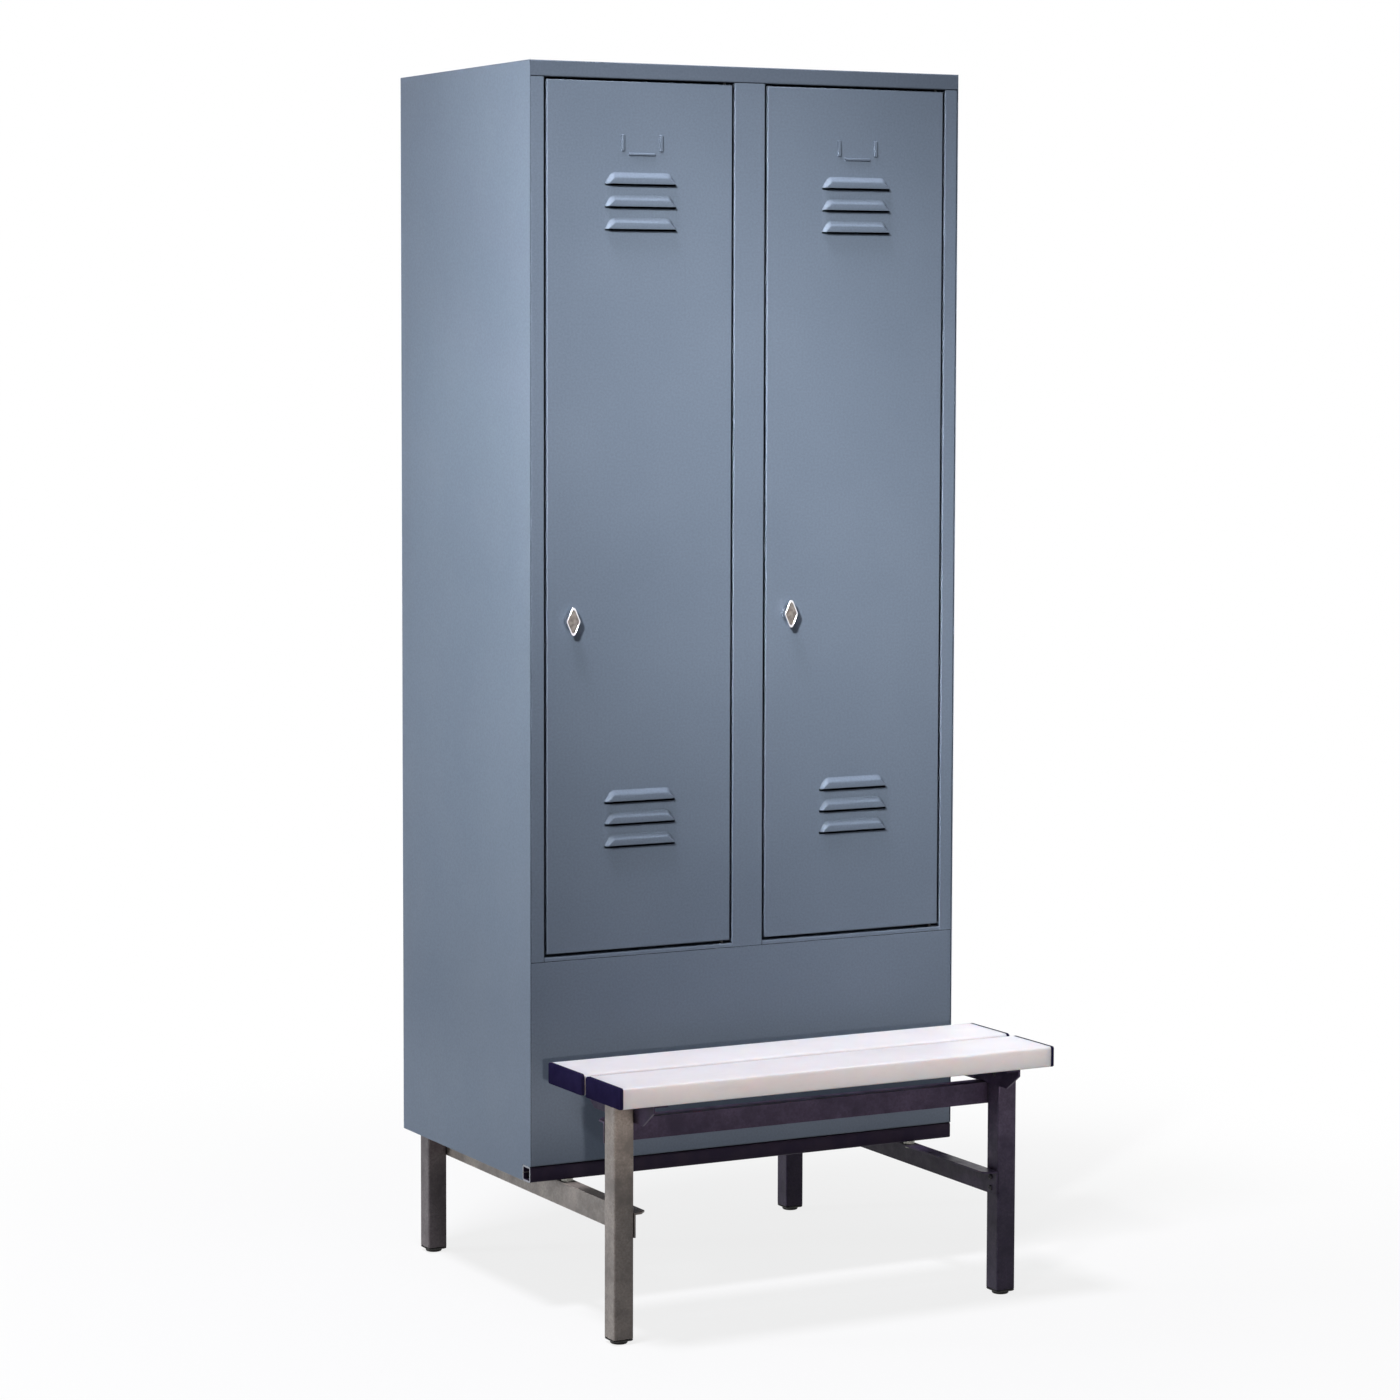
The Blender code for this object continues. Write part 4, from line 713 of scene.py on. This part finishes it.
# Hinge rods and latches
# Dark rods that stand in holes at the head and the foot of the opening, and a flat cam behind each knob.
# The housing that the cam turns in is riveted to the door and painted with it.
ROD_GAP_REACH = 0.008


def bare_steel():
    finish = new_finish("oiled_steel", (0.20, 0.20, 0.21), roughness=0.45, metallic=0.6)
    drawn = noise(finish, 120.0, detail=4.0, rough=0.6, stretch=(1.0, 1.0, 0.2))
    colour = mix_colour(finish, spread(finish, drawn, 0.0, 1.0), (0.16, 0.16, 0.17), (0.26, 0.26, 0.27))
    # Painted shade where the rods stand close to other faces.
    set_input(finish, "Base Color", paint_gap_shade(finish, colour, ROD_GAP_REACH))
    return finish


rod_finish = bare_steel()
for side in ("left", "right"):
    dress(side + "_hinge_rod", rod_finish)
    dress(side + "_latch_cam", zinc_finish)
    dress(side + "_latch_housing", body_coat)

# Doors
# Each is one sheet folded into a pan, with six louvre hoods and the three ears of a label holder pressed
# out of it. The hoods are open at the foot, where the dark inside shows as a slit.
FOLD = 0.0022
FOLD_STEPS = 4
LIP_BEND = 0.0010
LIP_BEND_MIDDLE = 0.0003
DOOR_SHEET = 0.0012
DOOR_LIP = 0.012
DOOR_SMOOTH_ANGLE = 50
SIDE_PLAY = 0.0004
FOOT_PLAY = 0.0012
HOOD_COUNT = 3
HOOD_PITCH = 0.0365
HOOD_FOOT = 0.066
HOOD_TAPER = 0.0115
HOOD_HEIGHT = 0.0190
HOOD_DEPTH = 0.0070
HOOD_LEAN = 0.0050
HOOD_FACE_SHARE = 0.46
HOOD_ROUND = 0.0135
HOOD_FACE_ROUND = 0.0070
HOOD_CORNER_STEPS = 8
HOOD_SHARES = (0.0, 0.06, 0.12, 0.18, 0.24, 0.45, 0.66, 0.74, 0.82, 0.91, 1.0)
HOOD_RIM_SHARE = 0.24
HOOD_CROWN_SHARE = 0.34
UPPER_SLIT = 0.0032
UPPER_HOODS_DROP = 0.1650
LOWER_SLIT = 0.0045
LOWER_HOODS_RISE = 0.1735
HOLDER_DROP = 0.0855
HOLDER_SHIFT = 0.0025
EAR_OUTER = 0.0385
EAR_INNER = 0.0321
EAR_LENGTH = 0.027
REST_HALF = 0.0245
REST_HEAD = 0.0291
REST_FOOT = 0.0339
EAR_ROUND = 0.0015
EAR_CORNER_STEPS = 4
EAR_LEVELS = ((0.0, 0.0), (0.0003, 0.0010), (0.0006, 0.0018), (0.0012, 0.0022))
SAME_DEPTH = 1e-6
ALONG_Y = 0.99


def arcs(points, radius, steps):
    """An open outline whose corners, but for its two ends, are turned into arcs."""
    made = [Vector(points[0])]
    for before, corner, after in zip(points, points[1:], points[2:]):
        here = Vector(corner)
        back = (Vector(before) - here).normalized()
        ahead = (Vector(after) - here).normalized()
        half = back.angle(ahead) / 2
        centre = here + (back + ahead).normalized() * radius / math.sin(half)
        start = here + back * radius / math.tan(half) - centre
        end = here + ahead * radius / math.tan(half) - centre
        sweep = start.angle_signed(end)
        for i in range(steps + 1):
            made.append(centre + Matrix.Rotation(-sweep * i / steps, 2) @ start)
    made.append(Vector(points[-1]))
    return made


def hood_ring(x, z, share):
    """Open outline of a hood, from its left foot over the top to its right foot. Share 0 is its rim on
    the sheet and 1 the edge of its flat face."""
    foot = HOOD_FOOT - HOOD_LEAN * share
    head = foot - HOOD_TAPER
    height = HOOD_HEIGHT * (1 - (1 - HOOD_FACE_SHARE) * share)
    radius = HOOD_ROUND + (HOOD_FACE_ROUND - HOOD_ROUND) * share
    outline = [(x - foot, z), (x - head, z + height), (x + head, z + height), (x + foot, z)]
    return arcs(outline, radius, HOOD_CORNER_STEPS)


def slope(share, low, high):
    """Rise from 0 to 1 along a ramp whose foot and head are rounded over the given shares."""
    steep = 1 / (1 - low / 2 - high / 2)
    if share < low:
        return steep * share * share / (2 * low)
    if share > 1 - high:
        return 1 - steep * (1 - share) ** 2 / (2 * high)
    return steep * (share - low / 2)


def press_hood(bm, x, z, front, slit):
    """Adds a hood's slopes and face, and returns the closed loop that the flat sheet leaves open."""
    rings = []
    for share in HOOD_SHARES:
        depth = HOOD_DEPTH * slope(share, HOOD_RIM_SHARE, HOOD_CROWN_SHARE)
        rings.append([bm.verts.new((u, front - depth, v)) for u, v in hood_ring(x, z, share)])
    for low, high in zip(rings, rings[1:]):
        for i in range(len(low) - 1):
            bm.faces.new((low[i], low[i + 1], high[i + 1], high[i]))
    bm.faces.new(rings[-1])
    slit_foot = [bm.verts.new((x + HOOD_FOOT - DOOR_SHEET, front, z - slit)),
                 bm.verts.new((x - HOOD_FOOT + DOOR_SHEET, front, z - slit))]
    return rings[0] + slit_foot


def press_ear(bm, low, high, front):
    """Adds a raised bar with steep walls between two corners, and returns its loop on the sheet. The levels
    are insets of its outline with the depth that the bar stands out there."""
    centre = ((low[0] + high[0]) / 2, (low[1] + high[1]) / 2)
    half_width = (high[0] - low[0]) / 2
    half_height = (high[1] - low[1]) / 2
    rings = []
    for inset, depth in EAR_LEVELS:
        outline = round_corners(half_width - inset, half_height - inset, EAR_ROUND - inset, EAR_CORNER_STEPS,
                                centre)
        rings.append([bm.verts.new((u, front - depth, v)) for u, v in outline])
    bridge(bm, rings)
    bm.faces.new(rings[-1])
    return rings[0]


def holder_bars(centre, top):
    """Lower left and upper right corners of a label holder's ears, one at each side and one underneath."""
    return [((centre - EAR_OUTER, top - EAR_LENGTH), (centre - EAR_INNER, top)),
            ((centre + EAR_INNER, top - EAR_LENGTH), (centre + EAR_OUTER, top)),
            ((centre - REST_HALF, top - REST_FOOT), (centre + REST_HALF, top - REST_HEAD))]


def pan_edge(depth):
    """Section of a door's edge, as (inset, depth) points: the front fold, the side and the lip behind."""
    turns = [math.pi / 2 * i / FOLD_STEPS for i in range(FOLD_STEPS + 1)]
    fold = [(FOLD * (1 - math.sin(turn)), FOLD * (1 - math.cos(turn))) for turn in turns]
    bend = [(0.0, depth - LIP_BEND), (LIP_BEND_MIDDLE, depth - LIP_BEND_MIDDLE), (LIP_BEND, depth)]
    return fold + bend + [(DOOR_LIP, depth)]


def lies_at(face, depth):
    """Whether all corners of a face lie at one depth, measured along Y."""
    return all(abs(corner.co.y - depth) < SAME_DEPTH for corner in face.verts)


def close_loop(bm, loop):
    """The edges round a loop of vertices, made where there are none yet."""
    edges = []
    for first, last in zip(loop, loop[1:] + loop[:1]):
        edges.append(bm.edges.get((first, last)) or bm.edges.new((first, last)))
    return edges


def door_skin(side):
    """Presses the hoods and ears, folds the edge and fills the flat sheet between them."""
    name = side + "_door_skin"
    low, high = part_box(name)
    front, back = low[1] + HOOD_DEPTH, high[1]
    x0, x1 = low[0] + SIDE_PLAY, high[0]
    z0, z1 = low[2] + FOOT_PLAY, high[2]
    middle = (low[0] + high[0]) / 2
    bm = bmesh.new()
    loops = []
    for i in range(HOOD_COUNT):
        loops.append(press_hood(bm, middle, z1 - UPPER_HOODS_DROP - i * HOOD_PITCH, front, UPPER_SLIT))
        loops.append(press_hood(bm, middle, low[2] + LOWER_HOODS_RISE + i * HOOD_PITCH, front, LOWER_SLIT))
    for lower_left, upper_right in holder_bars(middle + HOLDER_SHIFT, z1 - HOLDER_DROP):
        loops.append(press_ear(bm, lower_left, upper_right, front))
    rings = []
    for inset, depth in pan_edge(back - front):
        corners = [(x0 + inset, z0 + inset), (x1 - inset, z0 + inset),
                   (x1 - inset, z1 - inset), (x0 + inset, z1 - inset)]
        rings.append([bm.verts.new((u, front + depth, v)) for u, v in corners])
    bridge(bm, rings)
    edges = close_loop(bm, rings[0])
    for loop in loops:
        edges += close_loop(bm, loop)
    bmesh.ops.triangle_fill(bm, use_beauty=True, use_dissolve=False, edges=edges)
    bmesh.ops.recalc_face_normals(bm, faces=bm.faces)
    flat = next(face for face in bm.faces if abs(face.normal.y) > ALONG_Y and lies_at(face, front))
    if flat.normal.y > 0:
        bmesh.ops.reverse_faces(bm, faces=bm.faces)
    piece = new_piece(name + "_pressing", bm, [body_coat], DOOR_SMOOTH_ANGLE)
    sheet = piece.modifiers.new("sheet", "SOLIDIFY")
    sheet.thickness = DOOR_SHEET
    sheet.offset = -1.0
    even = piece.modifiers.new("even", "WEIGHTED_NORMAL")
    even.keep_sharp = True
    even.weight = 100
    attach(piece, side + "_door")
    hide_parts(name)


for side in ("left", "right"):
    door_skin(side)

# Knobs
# A die-cast rhombus on a round neck, polished and chromed, with a satin face sunk inside its bright rim.
# A round spindle behind the neck passes through the door and carries the cam.
KNOB_WIDTH = 0.026
KNOB_LENGTH = 0.060
KNOB_CORNER = 0.0045
KNOB_CORNER_STEPS = 5
FACE_SINK = 0.0012
KNOB_LEVELS = ((0.0080, 0.74), (0.0076, 0.83), (0.0060, 0.92), (0.0040, 0.98), (0.0022, 1.0), (0.0012, 0.995),
               (0.0004, 0.96), (0.0, 0.91), (0.0004, 0.85), (FACE_SINK, 0.81))
NECK_START = 0.0078
NECK_LENGTH = 0.0033
NECK_PROFILE = ((0.0090, 0.0), (0.0086, 0.0012), (0.0086, 0.0022), (0.0091, 0.0032), (0.0050, NECK_LENGTH))
NECK_STEPS = 40
SPINDLE_RADIUS = 0.0049
SPINDLE_END = ((SPINDLE_RADIUS, 0.0030), (0.0052, 0.0016), (0.0056, 0.0014), (0.0050, 0.0004), (0.0036, 0.0))
SPINDLE_STEPS = 24


def satin():
    finish = new_finish("satin_nickel_face", (0.60, 0.565, 0.54), roughness=0.40, metallic=0.80)
    brushed = noise(finish, 900.0, rough=0.6, stretch=(1.0, 1.0, 0.06))
    tone = spread(finish, noise(finish, 160.0, detail=4.0), 0.0, 1.0)
    set_input(finish, "Base Color", mix_colour(finish, tone, (0.46, 0.43, 0.41), (0.62, 0.59, 0.57)))
    add_bump(finish, brushed, depth=0.00006)
    return finish


def rhombus(half_width, half_length, radius):
    """Rhombus with round corners about the origin."""
    corners = [Vector((half_width, 0)), Vector((0, half_length)),
               Vector((-half_width, 0)), Vector((0, -half_length))]
    ring = []
    for i, corner in enumerate(corners):
        back = (corners[i - 1] - corner).normalized()
        ahead = (corners[(i + 1) % 4] - corner).normalized()
        half = back.angle(ahead) / 2
        centre = corner + (back + ahead).normalized() * radius / math.sin(half)
        start = corner + back * radius / math.tan(half) - centre
        end = corner + ahead * radius / math.tan(half) - centre
        first = math.atan2(start.y, start.x)
        sweep = (math.atan2(end.y, end.x) - first + math.pi) % (2 * math.pi) - math.pi
        for k in range(KNOB_CORNER_STEPS + 1):
            turn = first + sweep * k / KNOB_CORNER_STEPS
            ring.append((centre.x + radius * math.cos(turn), centre.y + radius * math.sin(turn)))
    return ring


def make_knob(side):
    """The knob's levels are depths behind its foremost edge with the share of its full outline there."""
    name = side + "_knob"
    low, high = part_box(name)
    x, z = (low[0] + high[0]) / 2, (low[2] + high[2]) / 2
    front = low[1]
    bm = bmesh.new()
    rings = []
    for depth, share in KNOB_LEVELS:
        outline = rhombus(KNOB_WIDTH / 2 * share, KNOB_LENGTH / 2 * share, KNOB_CORNER * share)
        rings.append([(x + u, front + depth, z + v) for u, v in outline])
    stack(bm, rings)
    for face in bm.faces:
        if lies_at(face, front + FACE_SINK):
            face.material_index = 1
    neck = front + NECK_START
    add_turned(bm, NECK_PROFILE, (x, neck, z), (0, 1, 0), NECK_STEPS)
    length = high[1] - neck - NECK_LENGTH
    spindle = [(SPINDLE_RADIUS, 0.0)] + [(radius, length - before) for radius, before in SPINDLE_END]
    add_turned(bm, spindle, (x, neck + NECK_LENGTH, z), (0, 1, 0), SPINDLE_STEPS)
    finished(name + "_casting", bm, [chrome_finish, satin_finish], side + "_knob_body", [name])


satin_finish = satin()
for side in ("left", "right"):
    make_knob(side)

# Bench slats
# Boards of off-white plastic with soft long edges, extruded hollow and capped in navy, so that only their
# outside is made. Their skin has faint lines along the pull of the die and light scuffs where people sit.
SLAT_ROUND = 0.0036
SLAT_GAP_ROUND = 0.0062
SLAT_UPPER_ROUNDS = {"front_slat": (SLAT_GAP_ROUND, SLAT_ROUND), "rear_slat": (SLAT_ROUND, SLAT_GAP_ROUND)}
SLAT_FOOT_ROUND = 0.0030
SLAT_ROUND_STEPS = 8
# Colour and reach of the painted shade near the gap between the slats.
SLAT_GAP_SHADE = (0.56, 0.40, 0.33)
SLAT_GAP_REACH = 0.030
CAP_WRAP = 0.0018
CAP_JOINT = 0.0002
CAP_EDGE = ((0.0, 0.0009), (0.0003, 0.0003), (0.0009, 0.0))


def slat_plastic():
    finish = new_finish("off_white_plastic", (0.95, 0.93, 0.935), roughness=0.42, gloss=0.3)
    lines = noise(finish, 260.0, rough=0.5, stretch=(0.01, 1.0, 1.0))
    clouds = spread(finish, noise(finish, 5.0, detail=4.0), 0.0, 1.0)
    rubs = noise(finish, 55.0, detail=6.0, rough=0.7, stretch=(0.25, 1.0, 1.0))
    scuffs = spread(finish, rubs, 0.0, 0.35, start=0.56, end=0.72)
    colour = mix_colour(finish, clouds, (0.945, 0.922, 0.930), (0.968, 0.948, 0.956))
    colour = mix_colour(finish, scuffs, colour, (0.89, 0.87, 0.875))
    set_input(finish, "Base Color", paint_gap_shade(finish, colour, SLAT_GAP_REACH, SLAT_GAP_SHADE))
    shader = finish.node_tree.nodes["Principled BSDF"]
    shader.inputs["Subsurface Weight"].default_value = 0.65
    shader.inputs["Subsurface Radius"].default_value = (1.0, 0.75, 0.62)
    shader.inputs["Subsurface Scale"].default_value = 0.026
    set_input(finish, "Roughness", spread(finish, noise(finish, 30.0, detail=5.0), 0.36, 0.52))
    add_bump(finish, lines, depth=0.00010, strength=0.4)
    return finish


def cap_plastic():
    finish = new_finish("navy_moulded_plastic", (0.135, 0.118, 0.236), roughness=0.52, gloss=0.0)
    tone = spread(finish, noise(finish, 45.0, detail=4.0), 0.0, 1.0)
    set_input(finish, "Base Color", mix_colour(finish, tone, (0.124, 0.107, 0.222), (0.150, 0.132, 0.254)))
    add_bump(finish, noise(finish, 1300.0, detail=2.0), depth=0.00008)
    return finish


def slat_ring(low, high, rounds, inset=0.0):
    """Section of a slat in (y, z), drawn in by an inset. The rounds are its upper rear and front ones."""
    rear, front = rounds
    corners = [(high[1] - rear, high[2] - rear, rear),
               (low[1] + front, high[2] - front, front),
               (low[1] + SLAT_FOOT_ROUND, low[2] + SLAT_FOOT_ROUND, SLAT_FOOT_ROUND),
               (high[1] - SLAT_FOOT_ROUND, low[2] + SLAT_FOOT_ROUND, SLAT_FOOT_ROUND)]
    ring = []
    for quarter, (y, z, radius) in enumerate(corners):
        for i in range(SLAT_ROUND_STEPS + 1):
            turn = math.pi / 2 * (quarter + i / SLAT_ROUND_STEPS)
            ring.append((y + (radius - inset) * math.cos(turn), z + (radius - inset) * math.sin(turn)))
    return ring


def make_slat(part, rounds):
    low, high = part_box(part)
    section = slat_ring(low, high, rounds)
    bm = bmesh.new()
    stack(bm, [[(x, y, z) for y, z in section] for x in (low[0] + CAP_WRAP, 0.0, high[0] - CAP_WRAP)])
    finished(part + "_board", bm, [cream], "cabinet", [part])


def make_cap(part, side, rounds):
    """A cap that wraps the slat's end. Its edge is depths behind its outer face, each with an inset."""
    name = f"{part}_{side}_cap"
    low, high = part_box(part)
    cap_low, cap_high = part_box(name)
    if side == "left":
        outer, joint, into = cap_low[0], low[0] + CAP_WRAP - CAP_JOINT, 1
    else:
        outer, joint, into = cap_high[0], high[0] - CAP_WRAP + CAP_JOINT, -1
    levels = [(outer + into * depth, inset) for depth, inset in CAP_EDGE] + [(joint, 0.0)]
    bm = bmesh.new()
    stack(bm, [[(x, y, z) for y, z in slat_ring(low, high, rounds, inset)] for x, inset in levels])
    finished(name + "_moulding", bm, [navy], "cabinet", [name])


cream = slat_plastic()
navy = cap_plastic()
for part, rounds in SLAT_UPPER_ROUNDS.items():
    make_slat(part, rounds)
    for side in ("left", "right"):
        make_cap(part, side, rounds)
